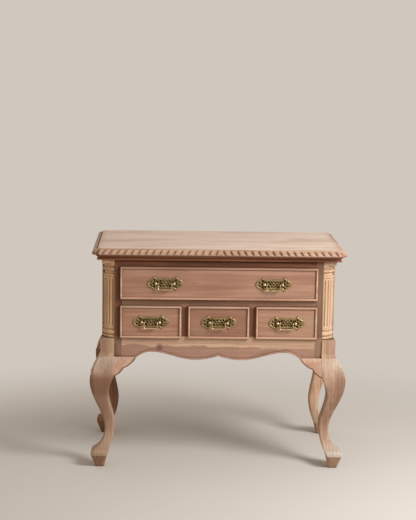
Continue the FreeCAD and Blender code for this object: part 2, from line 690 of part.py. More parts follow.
def drawer(name, x, width, low, high, pulls):
    """A lipped drawer in the opening between low and high: front, sides, back, bottom and pulls."""
    half = width / 2
    lip_back = front_face - LIP_GAP
    lip_front = lip_back - LIP_THICKNESS
    inner_back = lip_back + FRONT_INNER
    box_half = half - DRAWER_PLAY
    box_low = low + DRAWER_REST
    box_high = high - DRAWER_HEADROOM
    rear = back_front - DRAWER_REAR_GAP
    side_in = box_half - DRAWER_SIDE
    bottom_low = box_low + BOTTOM_RAISE
    bottom_high = bottom_low + DRAWER_BOTTOM

    lip = box(x - half - LIP_OVERLAP, x + half + LIP_OVERLAP, lip_front, lip_back,
              low - LIP_OVERLAP, high + LIP_OVERLAP)
    front_edges = [e for e in lip.Edges if all(abs(v.Y - lip_front) < 1e-6 for v in e.Vertexes)]
    lip = lip.makeFillet(RIM_HEIGHT * 0.8, front_edges)
    inner = box(x - box_half, x + box_half, lip_back, inner_back, box_low, box_high)
    front = lip.fuse(inner).removeSplitter()
    rim = RIM_WIDTH - LIP_OVERLAP
    front = front.cut(box(x - half + rim, x + half - rim, lip_front - 1, lip_front + RIM_HEIGHT,
                          low + rim, high - rim))
    bead_edges = [e for e in front.Edges if all(abs(v.Y - lip_front) < 1e-6 for v in e.Vertexes)
                  and abs(e.CenterOfMass.x - x) < half - rim + 1e-6
                  and low + rim - 1e-6 < e.CenterOfMass.z < high - rim + 1e-6]
    front = front.makeFillet(RIM_HEIGHT * 0.4, bead_edges)
    groove = box(x - side_in - GROOVE_DEPTH, x + side_in + GROOVE_DEPTH,
                 inner_back - GROOVE_DEPTH, rear + 1,
                 bottom_low - GROOVE_CLEARANCE, bottom_high + GROOVE_CLEARANCE)
    front = front.cut(groove)

    sides = []
    for out in (1, -1):
        a = x + out * side_in
        b = x + out * box_half
        side = box(min(a, b), max(a, b), inner_back, rear, box_low, box_high)
        joint = tails(a, out, inner_back, box_low, box_high, 0)
        socket = tails(a, out, inner_back, box_low, box_high, GLUE_LINE)
        front = front.cut(Part.makeCompound(socket))
        sides.append(side.multiFuse(joint).cut(groove).removeSplitter())

    back = box(x - side_in, x + side_in, rear - DRAWER_BACK, rear, bottom_high + GROOVE_CLEARANCE,
               box_high - DRAWER_HEADROOM)
    slack = GROOVE_CLEARANCE
    bottom = box(x - side_in - GROOVE_DEPTH + slack, x + side_in + GROOVE_DEPTH - slack,
                 inner_back - GROOVE_DEPTH + slack, rear - slack, bottom_low, bottom_high)

    field = lip_front + RIM_HEIGHT
    z = (low + high) / 2
    bolts = []
    for pull_name, pull_x in pulls:
        for side in (-1, 1):
            at = Vector(pull_x + side * BORE / 2, field, z)
            front = front.cut(Part.makeCylinder(SHANK_RADIUS + SHANK_CLEARANCE, inner_back - field + 1,
                                                at - Y_AXIS, Y_AXIS))
            bolts += [post(at, side, inner_back), nut(at, inner_back)]
        write(pull_name + "_backplate", backplate(pull_x, field, z))
        write(pull_name + "_bail", bail(pull_x, field, z))
    write(name + "_drawer_front", front)
    write(name + "_drawer_sides", *sides)
    write(name + "_drawer_back", back)
    write(name + "_drawer_bottom", bottom)
    write(name + "_pull_bolts", *bolts)


# Pulls

def pivot_y(field):
    """The bail's pivot, in front of the drawer's field."""
    return field - PLATE_THICKNESS - POST_STANDOFF


def post(at, side, inner_back):
    """A turned post: collar, neck and ball with a blind hole for the bail's pin, on a shank."""
    plate_front = at.y - PLATE_THICKNESS
    centre = Vector(at.x, pivot_y(at.y), at.z)
    collar = Part.makeCylinder(COLLAR_RADIUS, COLLAR_HEIGHT, Vector(at.x, plate_front, at.z), -Y_AXIS)
    rim = [e for e in collar.Edges if abs(e.CenterOfMass.y - (plate_front - COLLAR_HEIGHT)) < 1e-6
           and isinstance(e.Curve, Part.Circle)]
    collar = collar.makeFillet(COLLAR_HEIGHT * 0.6, rim)
    neck = Part.makeCylinder(POST_NECK, POST_STANDOFF, Vector(at.x, plate_front, at.z), -Y_AXIS)
    ball = Part.makeSphere(BALL_RADIUS, centre)
    reach = inner_back + NUT_HEIGHT + 1.5 - plate_front
    shank = Part.makeCylinder(SHANK_RADIUS, reach, Vector(at.x, plate_front, at.z), Y_AXIS)
    body = ball.multiFuse([collar, neck, shank]).removeSplitter()
    inward = X_AXIS * -side
    mouth = centre + inward * (BALL_RADIUS + 1)
    depth = PIN_DEPTH + 1 + PIN_CLEARANCE
    return body.cut(Part.makeCylinder(PIN_RADIUS + PIN_CLEARANCE, depth, mouth, X_AXIS * side))


def nut(at, inner_back):
    """The square nut that pulls a post tight from inside the drawer."""
    half = NUT_ACROSS / 2
    body = box(at.x - half, at.x + half, inner_back, inner_back + NUT_HEIGHT, at.z - half, at.z + half)
    hole = Part.makeCylinder(SHANK_RADIUS + NUT_CLEARANCE, NUT_HEIGHT + 2,
                             Vector(at.x, inner_back - 1, at.z), Y_AXIS)
    return body.cut(hole)


def bail(x, field, z):
    """The swinging bail: a squared loop of round bar with a pin at each end, turned outward."""
    y = pivot_y(field)

    def at(u, w):
        return Vector(x + u, y, z + w)

    far = BAIL_BEND * (1 - math.sqrt(0.5))
    arm = BAIL_ARM_X
    foot = -BAIL_DROP
    path = [line(at(-arm, 0), at(-arm, foot + BAIL_BEND)),
            arc(at(-arm, foot + BAIL_BEND), at(far - arm, foot + far), at(BAIL_BEND - arm, foot)),
            line(at(BAIL_BEND - arm, foot), at(arm - BAIL_BEND, foot)),
            arc(at(arm - BAIL_BEND, foot), at(arm - far, foot + far), at(arm, foot + BAIL_BEND)),
            line(at(arm, foot + BAIL_BEND), at(arm, 0))]
    ring = Part.Wire(Part.makeCircle(BAIL_RADIUS, at(-arm, 0), Z_AXIS))
    loop = Part.Wire(path).makePipeShell([ring], True, True)
    pieces = []
    pin_end = BORE / 2 - BALL_RADIUS + PIN_DEPTH
    for side in (-1, 1):
        pieces.append(Part.makeSphere(BAIL_END, at(side * arm, 0)))
        pieces.append(Part.makeCylinder(PIN_RADIUS, pin_end - arm, at(side * arm, 0), X_AXIS * side))
    return loop.multiFuse(pieces).removeSplitter()


def plate_half():
    """Upper right quarter of the backplate's edge: band, ear and rounded end, as width and height."""
    ear = (PLATE_EAR_X, PLATE_EAR)
    inner_foot = (PLATE_EAR_X - 9.5, PLATE_BAND + 0.5)
    outer_foot = (PLATE_EAR_X + 8.5, PLATE_BAND - 1.5)
    tip = (PLATE_HALF, 0)
    return inner_foot, ear, outer_foot, tip


def backplate(x, field, z):
    """A pierced plate: a fretted band between the posts and a pierced, eared wing at each end."""
    def at(u, w):
        return Vector(x + u, field, z + w)

    inner_foot, ear, outer_foot, tip = plate_half()
    edges = []
    corners = []
    for su, sw in ((1, 1), (1, -1), (-1, -1), (-1, 1)):
        run = [at(su * inner_foot[0], sw * inner_foot[1]), at(su * ear[0], sw * ear[1]),
               at(su * outer_foot[0], sw * outer_foot[1]), at(su * tip[0], tip[1])]
        sag = [at(su * (ear[0] - 3.5), sw * (PLATE_BAND + 3.2)),
               at(su * (ear[0] + 4.0), sw * (PLATE_BAND + 3.0)),
               at(su * (PLATE_HALF - 3.8), sw * PLATE_BAND * 0.52)]
        part = [arc(run[0], sag[0], run[1]), arc(run[1], sag[1], run[2]), arc(run[2], sag[2], run[3])]
        corners.append((part, run))
    for k, (part, run) in enumerate(corners):
        edges += part if k % 2 == 0 else part[::-1]
        if k % 2 == 1:
            edges.append(line(run[0], corners[(k + 1) % 4][1][0]))
    plate = Part.Face(Part.Wire(Part.__sortEdges__(edges))).extrude(-Y_AXIS * PLATE_THICKNESS)
    holes = []
    fret = [(0, 0, PIERCING_SMALL)]
    for su in (-1, 1):
        for sw in (-1, 1):
            fret.append((su * BAIL_ARM_X * 0.26, sw * PLATE_BAND * 0.46, PIERCING_SMALL))
            fret.append((su * BAIL_ARM_X * 0.70, sw * PLATE_BAND * 0.46, PIERCING))
            fret.append((su * PLATE_EAR_X, sw * PLATE_BAND * 0.68, PIERCING))
            fret.append((su * PLATE_HALF * 0.78, sw * PLATE_BAND * 0.36, PIERCING_SMALL))
    for u, w, r in fret:
        holes.append(Part.makeCylinder(r, PLATE_THICKNESS + 2, at(u, w) + Y_AXIS, -Y_AXIS))
    for side in (-1, 1):
        holes.append(Part.makeCylinder(SHANK_RADIUS + SHANK_CLEARANCE, PLATE_THICKNESS + 2,
                                       at(side * BORE / 2, 0) + Y_AXIS, -Y_AXIS))
    return plate.cut(Part.makeCompound(holes))


def build():
    os.makedirs("parts", exist_ok=True)
    write("top_board", top_board())
    write("gadroon_edge", gadroon_edge())
    write("bed_moulding", *bed_moulding())
    for name, piece in (("front_post", front_post()), ("rear_post", rear_post()),
                        ("quarter_column", quarter_column()), ("plinth_block", plinth_block()),
                        ("side_panel", side_panel())):
        write(name + "_right", piece)
        write(name + "_left", left_of(piece))
    write("back_panel", box(CORNER - half_case, half_case - CORNER, back_front, back_front + BACK_THICKNESS,
                            LEG_HEIGHT + BACK_RAISE, case_top))
    write("top_rail", box(-opening_half, opening_half, front_face, rail_back, wide_top, case_top))
    write("middle_rail", box(-opening_half, opening_half, front_face, divider_back, small_top, wide_bottom))
    write("apron", apron())
    write("drawer_dividers", divider(1), divider(-1))

    rear_leg = leg()
    front_leg = rear_of(rear_leg)
    write("leg_rear_right", rear_leg)
    write("leg_rear_left", left_of(rear_leg))
    write("leg_front_right", front_leg)
    write("leg_front_left", left_of(front_leg))
    block = knee_block()
    front_block = rear_of(block)
    write("knee_block_front_right", front_block)
    write("knee_block_front_left", left_of(front_block))
    side_block = turned_to_side(block)
    side_blocks = (side_block, rear_of(side_block))
    write("side_knee_blocks_right", *side_blocks)
    write("side_knee_blocks_left", *[left_of(b) for b in side_blocks])

    write("dust_panel", dust_panel())
    write("drawer_runners", *runners())
    write("drawer_guides", *guides())
    write("drawer_kickers", *kickers())

    drawer("wide", 0, 2 * opening_half, wide_bottom, wide_top,
           (("wide_left", PULL_INSET - opening_half), ("wide_right", opening_half - PULL_INSET)))
    for name, step in (("left", -1), ("centre", 0), ("right", 1)):
        x = step * small_pitch
        drawer(name, x, small_width, small_bottom, small_top, ((name, x),))


build()
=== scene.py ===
import bmesh
import bpy
import numpy as np
from mathutils import Matrix


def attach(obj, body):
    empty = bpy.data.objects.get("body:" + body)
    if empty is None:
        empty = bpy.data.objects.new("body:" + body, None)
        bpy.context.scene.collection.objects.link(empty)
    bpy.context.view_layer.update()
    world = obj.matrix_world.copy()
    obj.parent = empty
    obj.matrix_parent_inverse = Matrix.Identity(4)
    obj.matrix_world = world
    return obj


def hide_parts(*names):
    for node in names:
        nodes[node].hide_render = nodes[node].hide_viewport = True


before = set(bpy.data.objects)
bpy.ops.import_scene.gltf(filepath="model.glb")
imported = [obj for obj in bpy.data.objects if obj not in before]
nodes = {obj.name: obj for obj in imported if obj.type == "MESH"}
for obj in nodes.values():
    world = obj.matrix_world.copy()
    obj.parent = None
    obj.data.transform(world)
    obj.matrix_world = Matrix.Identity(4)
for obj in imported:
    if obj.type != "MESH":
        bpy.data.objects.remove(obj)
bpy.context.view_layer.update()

# -------- Posts, rails and dividers
# The front frame: corner posts, a rail above the drawers, one between the rows and two short dividers, sawn from
# brown heartwood and planed. The rails are tenoned into the posts. These pieces look darker and redder than the
# drawers: less of the old stain came off them, and painted shade stands for the shadows of the top and of the
# drawers' lips on them, with a painted shadow line under the moulding and the left post painted darker than the
# right. Their arrises are rubbed soft.


def linear(code):
    """An sRGB hex colour as the linear red, green, blue and alpha that a shader takes."""
    srgb = np.array([int(code[i:i + 2], 16) for i in (1, 3, 5)]) / 255
    return (*np.where(srgb <= 0.04045, srgb / 12.92, ((srgb + 0.055) / 1.055) ** 2.4), 1.0)


def feed(node, inputs):
    """Fills a node's inputs: a socket is linked, a node is linked by its first output, and the rest are values."""
    for key, value in inputs.items():
        value = value.outputs[0] if isinstance(value, bpy.types.Node) else value
        if isinstance(value, bpy.types.NodeSocket):
            node.id_data.links.new(value, node.inputs[key])
        else:
            node.inputs[key].default_value = value


def put(tree, kind, inputs=None, **settings):
    """Adds one shader node with its settings and inputs."""
    node = tree.nodes.new("ShaderNode" + kind)
    for key, value in settings.items():
        setattr(node, key, value)
    feed(node, inputs or {})
    return node


def new_finish(name):
    """A new material, its node tree and its shader."""
    material = bpy.data.materials.new(name)
    material.use_nodes = True
    return material, material.node_tree, material.node_tree.nodes["Principled BSDF"]


def stain(tree, base, colour, value, low, high, most=1.0):
    """Lays a colour over a base: its share goes from none to most as the value goes from low to high."""
    share = put(tree, "MapRange", {"Value": value, "From Min": low, "From Max": high, "To Max": most})
    base, colour = (linear(paint) if isinstance(paint, str) else paint for paint in (base, colour))
    return put(tree, "Mix", {0: share, 6: base, 7: colour}, data_type="RGBA").outputs[2]


def walnut(name, pale, mid, dark, grain, pith=(0.02, -0.05, -0.03), rings=0.008, figure=0.3, streaks=0.8,
           skew=0.35, soil_and_shade_colour="#3d2719", corner_soil_and_shade=0.5, rough=0.74, ends=0.8, tan=None, heart=None, patches=()):
    """Bare wood with its grain along one axis, walnut unless its name says another. Growth rings are cylinders
    about a pith that lies outside the board and runs a little askew, so a face shows long arches. Tone streaks
    16 mm wide and 300 mm long change the wood from mid to pale, fibres 1.5 mm wide and 100 mm long darken it, and
    pores are short dark ticks: both are finer in real walnut, and drawn this coarse to show. End grain is darker,
    and handled edges are paler. Corners near other surfaces, gouge cuts and other places marked hollow are darkened
    by dirt and painted shade. With tan, clouds 110 mm wide turn to that colour. With heart, the wood below a
    wandering line is heartwood of that colour, with one knot on the line. A patch is a colour that comes in between
    two distances from the middle along one axis."""
    material, tree, shader = new_finish(name)
    coordinates = put(tree, "TexCoord")
    place = coordinates.outputs["Object"]
    axis = "XYZ".index(grain)

    def along(share, turn=(0, 0, 0), shift=(0, 0, 0)):
        scale = [1.0, 1.0, 1.0]
        scale[axis] = share
        return put(tree, "Mapping", {"Vector": place, "Location": shift, "Rotation": turn, "Scale": scale})

    lean = [skew, skew, skew]
    lean[axis] = 0.0
    wave = put(tree, "TexWave",
               {"Vector": along(0.06, lean, pith), "Scale": 2 * np.pi / 20 / rings, "Distortion": 7.0, "Detail": 3.0,
                "Detail Scale": 0.9, "Detail Roughness": 0.6},
               wave_type="RINGS", rings_direction=grain, wave_profile="SAW")
    tone, cloud, fibre, pore = (
        put(tree, "TexNoise", {"Vector": vector, "Scale": scale, "Detail": detail})
        for vector, scale, detail in ((along(0.05, shift=pith), 62.0, 3.0), (along(0.35, shift=pith), 9.0, 2.0),
                                      (along(0.014), 640.0, 4.0), (along(0.06), 1300.0, 1.0)))
    wood = stain(tree, mid, pale, tone, 0.36, 0.36 + 0.24 / streaks)
    apart = put(tree, "SeparateXYZ", {0: place})
    if heart:
        colour, left_z, right_z, knot_place = heart
        slope = put(tree, "MapRange", {"Value": apart.outputs["X"], "From Min": -0.345, "From Max": 0.345,
                                       "To Min": left_z, "To Max": right_z})
        wander = put(tree, "TexNoise", {"Vector": along(1.0), "Scale": 14.0, "Detail": 2.0})
        wave_z = put(tree, "Math", {0: wander, 1: 0.034, 2: slope}, operation="MULTIPLY_ADD")
        below = put(tree, "Math", {0: wave_z, 1: apart.outputs["Z"]}, operation="SUBTRACT")
        wood = stain(tree, wood, dark, below, 0.0140, 0.0150, 0.55)
        wood = stain(tree, wood, colour, below, 0.0152, 0.0185, 0.95)
        knot = put(tree, "VectorMath", {0: place, 1: knot_place}, operation="DISTANCE")
        wood = stain(tree, wood, "#6e554b", knot.outputs["Value"], 0.017, 0.006, 0.85)
    for way, low, high, colour, most in patches:
        off_middle = put(tree, "Math", {0: apart.outputs[way]}, operation="ABSOLUTE")
        wood = stain(tree, wood, colour, off_middle, low, high, most)
    if tan:
        wood = stain(tree, wood, tan, cloud, 0.5, 0.32, 0.65)
    facing = put(tree, "SeparateXYZ", {0: coordinates.outputs["Normal"]})
    end = put(tree, "Math", {0: facing.outputs[axis]}, operation="ABSOLUTE")
    edge = put(tree, "AmbientOcclusion", {"Distance": 0.004}, samples=6, inside=True, only_local=True)
    corner = put(tree, "AmbientOcclusion", {"Distance": 0.014}, samples=8)
    cut = put(tree, "Attribute", attribute_name="hollow")
    # The corner and hollow marks below lay dirt and painted shade; the edge mark lays paler worn wood.
    for colour, value, low, high, most in (
            (dark, cloud, 0.5, 0.72, 0.5), (dark, wave.outputs["Fac"], 0.4, 1.0, figure),
            (dark, fibre, 0.42, 0.72, 0.4), (soil_and_shade_colour, pore, 0.64, 0.72, 0.4), (dark, end, 0.5, 0.95, ends),
            (pale, edge.outputs["AO"], 0.55, 0.15, 0.45), (soil_and_shade_colour, corner.outputs["AO"], 0.8, 0.2, corner_soil_and_shade),
            (soil_and_shade_colour, cut.outputs["Fac"], 0.1, 1.0, 0.8)):
        wood = stain(tree, wood, colour, value, low, high, most)
    sheen = put(tree, "MapRange", {"Value": fibre, "From Min": 0.3, "From Max": 0.7, "To Min": rough - 0.07,
                                   "To Max": rough + 0.1})
    relief = put(tree, "Math", {0: fibre, 1: pore}, operation="SUBTRACT")
    bump = put(tree, "Bump", {"Height": relief, "Strength": 0.35, "Distance": 0.0004})
    feed(shader, {"Base Color": wood, "Roughness": sheen, "Normal": bump, "Specular IOR Level": 0.3})
    return material


def dress(finish, *names, arris=0.0008):
    """Gives CAD nodes their finish, and softens their sawn edges with a narrow two-step bevel."""
    for name in names:
        node = nodes[name]
        node.material_slots[0].material = finish
        if arris:
            node.modifiers.new("joined", "WELD").merge_threshold = 1e-5
            bevel = node.modifiers.new("arris", "BEVEL")
            bevel.width, bevel.segments = arris, 2
            bevel.limit_method, bevel.angle_limit = "ANGLE", np.radians(50)


# The top rail is painted darker for the top's shadow on it, with a painted shadow line just under the moulding.
walnut_shaded = walnut("half-stripped walnut with painted shade, top rail", "#8d5b42", "#754730", "#48281c", "X", pith=(0.3, 0.07, -0.7),
                       soil_and_shade_colour="#27110a", corner_soil_and_shade=0.8, patches=[("Z", 0.745, 0.752, "#1e0d07", 0.75)])
# The middle rail's strong corner darkening is painted shade under the drawers' lips, as well as soil.
walnut_rail = walnut("stripped walnut, middle rail", "#a17b65", "#88634f", "#5d3e2a", "X", pith=(0.3, 0.07, -0.62),
                     soil_and_shade_colour="#2c170e", corner_soil_and_shade=0.85)
# The left post is painted darker than the right one: painted shade for the drawers' lips' shadows on it.
walnut_brown = walnut("half-stripped walnut with painted shade, uprights", "#885a42", "#704731", "#43281a", "Z", pith=(0.35, 0.1, 0.2),
                      soil_and_shade_colour="#27130b", corner_soil_and_shade=0.7,
                      patches=[("Z", 0.480, 0.468, "#9a7a64", 0.85), ("X", 0.4095, 0.411, "#c79d7a", 0.8)])
# The dividers are painted darker for the shadows of the drawers' lips on them.
walnut_divider = walnut("half-stripped walnut with painted shade, dividers", "#9a664c", "#81523a", "#4b2c1c", "Z", pith=(0.3, 0.1, 0.2),
                        soil_and_shade_colour="#27130b", corner_soil_and_shade=0.6, patches=[("Z", 0.480, 0.468, "#9a7a64", 0.85)])
walnut_post = walnut("stripped walnut, posts", "#96735e", "#7d5b47", "#563a28", "Z", pith=(0.45, 0.2, 0.1),
                     tan="#937a63", patches=[("Z", 0.480, 0.468, "#ad8b74", 0.8), ("X", 0.4095, 0.411, "#d6b697", 0.8)])
dress(walnut_shaded, "top_rail")
dress(walnut_rail, "middle_rail")
dress(walnut_brown, "front_post_left")
dress(walnut_divider, "drawer_dividers")
dress(walnut_post, "front_post_right", arris=0.0004)

# -------- Sides, rear posts and back
# Each side is one wide walnut board between its posts, with an arch sawn in its lower edge, and the rear posts are
# of the same wood. The back is a rough board of tulipwood, never varnished, that has gone grey-brown.
walnut_side = walnut("stripped walnut, side boards", "#bd9c84", "#a17c64", "#76543f", "Z", pith=(0.05, 0.12, 0.1),
                     rings=0.012)
tulipwood_back = walnut("bare tulipwood, back board", "#a08f79", "#8a7862", "#63523f", "X", pith=(0.2, 0.03, -0.5),
                        rings=0.014, rough=0.75)
walnut_rear = walnut("stripped walnut, rear posts", "#b8967e", "#9d7861", "#72513d", "Z", pith=(0.45, 0.2, 0.1))
dress(walnut_side, "side_panel_left", "side_panel_right")
dress(walnut_rear, "rear_post_left", "rear_post_right", arris=0.0004)
dress(tulipwood_back, "back_panel")

# -------- Quarter columns and plinths
# A turned walnut column is sawn in four, and a quarter is glued into each front corner post, between a square
# capital block and a plinth block. Five stopped flutes are cut with a gouge in its shaft. The columns are of pale
# yellow sapwood, darkened in the flutes by soil and painted shade, the left one painted paler as painted light,
# and the plinths of grey-brown wood.
half_case, half_depth, case_top = 416.0, 208.0, 773.0
axis_x, axis_y, shaft_mid, capital_z = 371.0, -163.0, 600.5, 740.0
shaft_r, shaft_half, neck_r = 40.0, 90.3, 38.5
flute_r, flute_mid, flute_half, flute_degrees = 3.0, 40.6, 81.5, 4.22


def shell(name, grids, flats=(), crisp=35, hollow=None):
    """One mesh from points in millimetres. Each grid (rows, columns, 3) is joined row to row and column to column,
    and each flat is one polygon. Points that meet are merged and faces turned outward, and edges that bend by
    more than the crisp angle stay sharp. Hollow gives, point by point, how much dirt and painted shade darken the
    first grid."""
    corners, faces, start = [], [], 0
    for grid in grids:
        rows, columns = grid.shape[:2]
        index = start + np.arange(rows * columns).reshape(rows, columns)
        quads = np.stack([index[:-1, :-1], index[:-1, 1:], index[1:, 1:], index[1:, :-1]], -1)
        faces += quads.reshape(-1, 4).tolist()
        corners.append(grid.reshape(-1, 3))
        start += rows * columns
    for flat in flats:
        faces.append(list(range(start, start + len(flat))))
        corners.append(np.asarray(flat, float))
        start += len(flat)
    mesh = bpy.data.meshes.new(name)
    mesh.from_pydata(np.concatenate(corners) / 1000, [], faces)
    if hollow is not None:
        soil_and_shade_amount = np.zeros(start, np.float32)
        soil_and_shade_amount[:hollow.size] = hollow.ravel()
        mesh.attributes.new("hollow", "FLOAT", "POINT").data.foreach_set("value", soil_and_shade_amount)
    merged = bmesh.new()
    merged.from_mesh(mesh)
    bmesh.ops.remove_doubles(merged, verts=merged.verts, dist=2e-6)
    bmesh.ops.recalc_face_normals(merged, faces=merged.faces)
    merged.to_mesh(mesh)
    merged.free()
    mesh.shade_smooth()
    mesh.set_sharp_from_angle(angle=np.radians(crisp))
    piece = bpy.data.objects.new(name, mesh)
    bpy.context.scene.collection.objects.link(piece)
    return piece


def fit(piece, body, slot, finish, *replaced):
    """Gives a new piece its finish, the body it rides on, and the nodes that it stands for."""
    piece.data.materials.append(finish)
    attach(piece, body)
    if replaced:
        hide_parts(*replaced)


def points(x, y, z):
    """Three arrays or numbers as one array of points."""
    return np.stack(np.broadcast_arrays(x, y, z), -1).astype(float)


def column_profile():
    """Radius and height of the turning below and above its shaft: three base rings; a ring, a hollow, a ring and
    an abacus. A ring between two heights is half an ellipse on the neck of 38.5 mm, and a hollow bulges inward."""
    def ring(low, high, bulge):
        turn = np.linspace(0, np.pi, 9)
        return neck_r + bulge * np.sin(turn), low + (high - low) * (1 - np.cos(turn)) / 2

    lower = [ring(470, 480, 4.5), ring(482.4, 498.8, 4.5), ring(502.4, 510, 3.4)]
    upper = [ring(691, 700.3, 3.5), ring(700.3, 712.6, -2.5), ring(712.6, 723.3, 4.5)]
    flat = [(np.array([neck_r, 44, 44]), np.array([732.0, 732.2, capital_z]))]
    return [tuple(np.concatenate(part) for part in zip(*group)) for group in (lower, upper + flat)]


def fluted(height, turn):
    """The shaft's radius of 40 mm, cut by round gouges of 3 mm about centres 40.6 mm from the axis, which end in
    quarter spheres: the near side of a circle seen from the axis at the angle from the gouge's middle."""
    off = np.mod(turn, np.pi / 10) - np.pi / 20
    past = np.maximum(0, np.abs(height - shaft_mid) - flute_half)
    gap = flute_r ** 2 - past ** 2 - (flute_mid * np.sin(off)) ** 2
    cut = flute_mid * np.cos(off) - np.sqrt(np.maximum(gap, 0))
    return np.where(gap > 0, np.minimum(shaft_r, cut), shaft_r)


def quarter_turning(side):
    """Rows of the turning's profile swept through the quarter that faces front and side, and closed on the two
    walls of the post's recess. Returns the grids, the flat ends and how much each point of the flutes is darkened
    by dirt and painted shade."""
    local = np.r_[-9, np.linspace(-flute_degrees, flute_degrees, 11)]
    turn = np.radians(np.append((local + 9 + 18 * np.arange(5)[:, None]).ravel(), 90))
    ends = flute_half - 0.001 + flute_r * np.cos(np.linspace(0, np.pi / 2, 9))
    up = shaft_mid + np.r_[-shaft_half, -ends, ends[::-1], shaft_half]
    (low_r, low_z), (high_r, high_z) = column_profile()
    height = np.r_[low_z, up, high_z]
    plain = np.r_[low_r, np.full(len(up), shaft_r), high_r][:, None] + 0 * turn
    shaft = np.abs(height[:, None] - shaft_mid) < shaft_half + 0.1
    radius = np.where(shaft, fluted(height[:, None], turn), plain)
    skin = points(axis_x + radius * np.sin(turn), axis_y - radius * np.cos(turn), height[:, None])
    core = points(axis_x, axis_y, height)
    walls = [np.stack([core, skin[:, 0]], 1), np.stack([skin[:, -1], core], 1)]
    flats = [np.concatenate([core[:1], skin[0]]), np.concatenate([core[-1:], skin[-1]])]
    flip = [side, 1, 1]
    return [grid * flip for grid in [skin] + walls], [flat * flip for flat in flats], (plain - radius) / 4.8


def rounded_block(low, high, soft):
    """A block between two corners whose section is a square with quarter-round corners, on rows that also draw
    in by the same round at both ends."""
    low, high = np.array(low, float), np.array(high, float)
    quarter = np.linspace(0, np.pi / 2, 5)
    turn = np.concatenate([quarter + k * np.pi / 2 for k in range(4)])
    turn = np.append(turn, turn[0])
    middle, half = (low + high) / 2, (high - low) / 2
    rise = np.r_[quarter - np.pi / 2, quarter][:, None]
    z = np.concatenate([low[2] + soft + soft * np.sin(rise[:5]), high[2] - soft + soft * np.sin(rise[5:])])
    x = middle[0] + np.sign(np.cos(turn + 1e-9)) * (half[0] - soft) + soft * np.cos(rise) * np.cos(turn)
    y = middle[1] + np.sign(np.sin(turn + 1e-9)) * (half[1] - soft) + soft * np.cos(rise) * np.sin(turn)
    grid = points(x, y, z)
    return grid, [grid[0, :-1], grid[-1, :-1]]


# The left column's tones are painted paler than the right's: painted light on its shaded side.
sapwood = {"left": ("#ebc5a0", "#d8ad87", "#a67a54"), "right": ("#dec0a2", "#caa788", "#9a7550")}
walnut_plinth = walnut("stripped walnut, plinths", "#c2a18a", "#a88670", "#785743", "Z", pith=(0.4, 0.15, 0.1),
                       figure=0.4, skew=0.06, patches=[("X", 0.391, 0.386, "#d2ae84", 0.6)])
for side, hand in ((-1, "left"), (1, "right")):
    walnut_column = walnut("stripped walnut sapwood, " + hand + " column", *sapwood[hand], "Z", pith=(-0.33, 0.2, 0.3),
                           rings=0.006, figure=0.2, skew=0.05, soil_and_shade_colour="#4c3020")
    skins, ends, soil_and_shade_amount = quarter_turning(side)
    block, block_ends = rounded_block((axis_x, -half_depth, capital_z), (half_case, axis_y, case_top), 1.0)
    fit(shell("fluted_column_" + hand, skins + [block * [side, 1, 1]],
              ends + [flat * [side, 1, 1] for flat in block_ends], hollow=soil_and_shade_amount),
        "carcase", "column", walnut_column, "quarter_column_" + hand)
dress(walnut_plinth, "plinth_block_left", "plinth_block_right", arris=0.0004)

# -------- Apron
# The lower front rail, bandsawn to two arches and two lobes that meet in a cusp. It is one board with pale sapwood
# along its upper half and mauve-brown heart below. A thin round bead worked along its sawn edge looks redder.


def slab(front, back):
    """The two faces of a slab and the four strips that join their edges."""
    return [front, back, np.stack([front[0], back[0]]), np.stack([front[-1], back[-1]]),
            np.stack([front[:, 0], back[:, 0]]), np.stack([front[:, -1], back[:, -1]])]


def apron_edge(n):
    """Heights of the right half of the apron's lower edge: half-cosine waves between the cusp at the middle, the
    lobe at 82.8 mm, the arch at 241.6 mm and the end at 294.6 mm, with the cusp and the end drawn to a point."""
    lobe, arch, run, cusp_z, lobe_z, arch_z = 82.8, 241.6, 53.0, 409.0, 393.5, 422.0
    x = np.r_[lobe * np.linspace(0, 1, n) ** 1.5, np.linspace(lobe, arch, n)[1:],
              arch + run * np.sin(np.linspace(0, np.pi / 2, n)[1:])]
    cusp = cusp_z + (lobe_z - cusp_z) * np.sin(np.pi / 2 * np.clip(x / lobe, 0, 1)) ** 0.8
    swing = lobe_z + (arch_z - lobe_z) * (1 - np.cos(np.pi * np.clip((x - lobe) / (arch - lobe), 0, 1))) / 2
    fall = np.clip((x - arch) / run, 0, 1)
    return x, np.where(x < lobe, cusp, swing - 22.5 * fall ** 1.9)


walnut_apron = walnut("stripped walnut, apron", "#d6b496", "#c49f85", "#7c5543", "X", pith=(0.2, 0.02, -0.47),
                      rings=0.010, figure=0.22, heart=("#ae8875", 0.444, 0.431, (-0.210, -0.208, 0.4375)))
leg_top, opening_half, lower_row, rail_thick = 403.5, 345.0, 478.5, 22.0
half_x, half_z = apron_edge(26)
past_arch = half_x[-1] + 0.8
edge_x = np.r_[opening_half, past_arch, half_x[::-1], -half_x[1:], -past_arch, -opening_half]
edge_z = np.r_[leg_top, leg_top, half_z[::-1], half_z[1:], leg_top, leg_top]
down = np.append(np.linspace(lower_row, 441, 6)[:, None] + 0 * edge_z,
                 edge_z + np.array([[15.0], [10.5], [6.5], [4.0], [0.0]]), 0)
front = points(edge_x, -half_depth, down)
# Soil and painted shade lie in the quirk between the face and its bead, reaching a little up the face.
quirk_soil_and_shade = np.zeros(front.shape[:2])
quirk_soil_and_shade[-4:-1, 2:-2] = np.array([[0.2], [0.5], [1.0]])
fit(shell("shaped_apron", slab(front, front + [0, rail_thick, 0]), hollow=quirk_soil_and_shade), "carcase", "apron", walnut_apron,
    "apron")


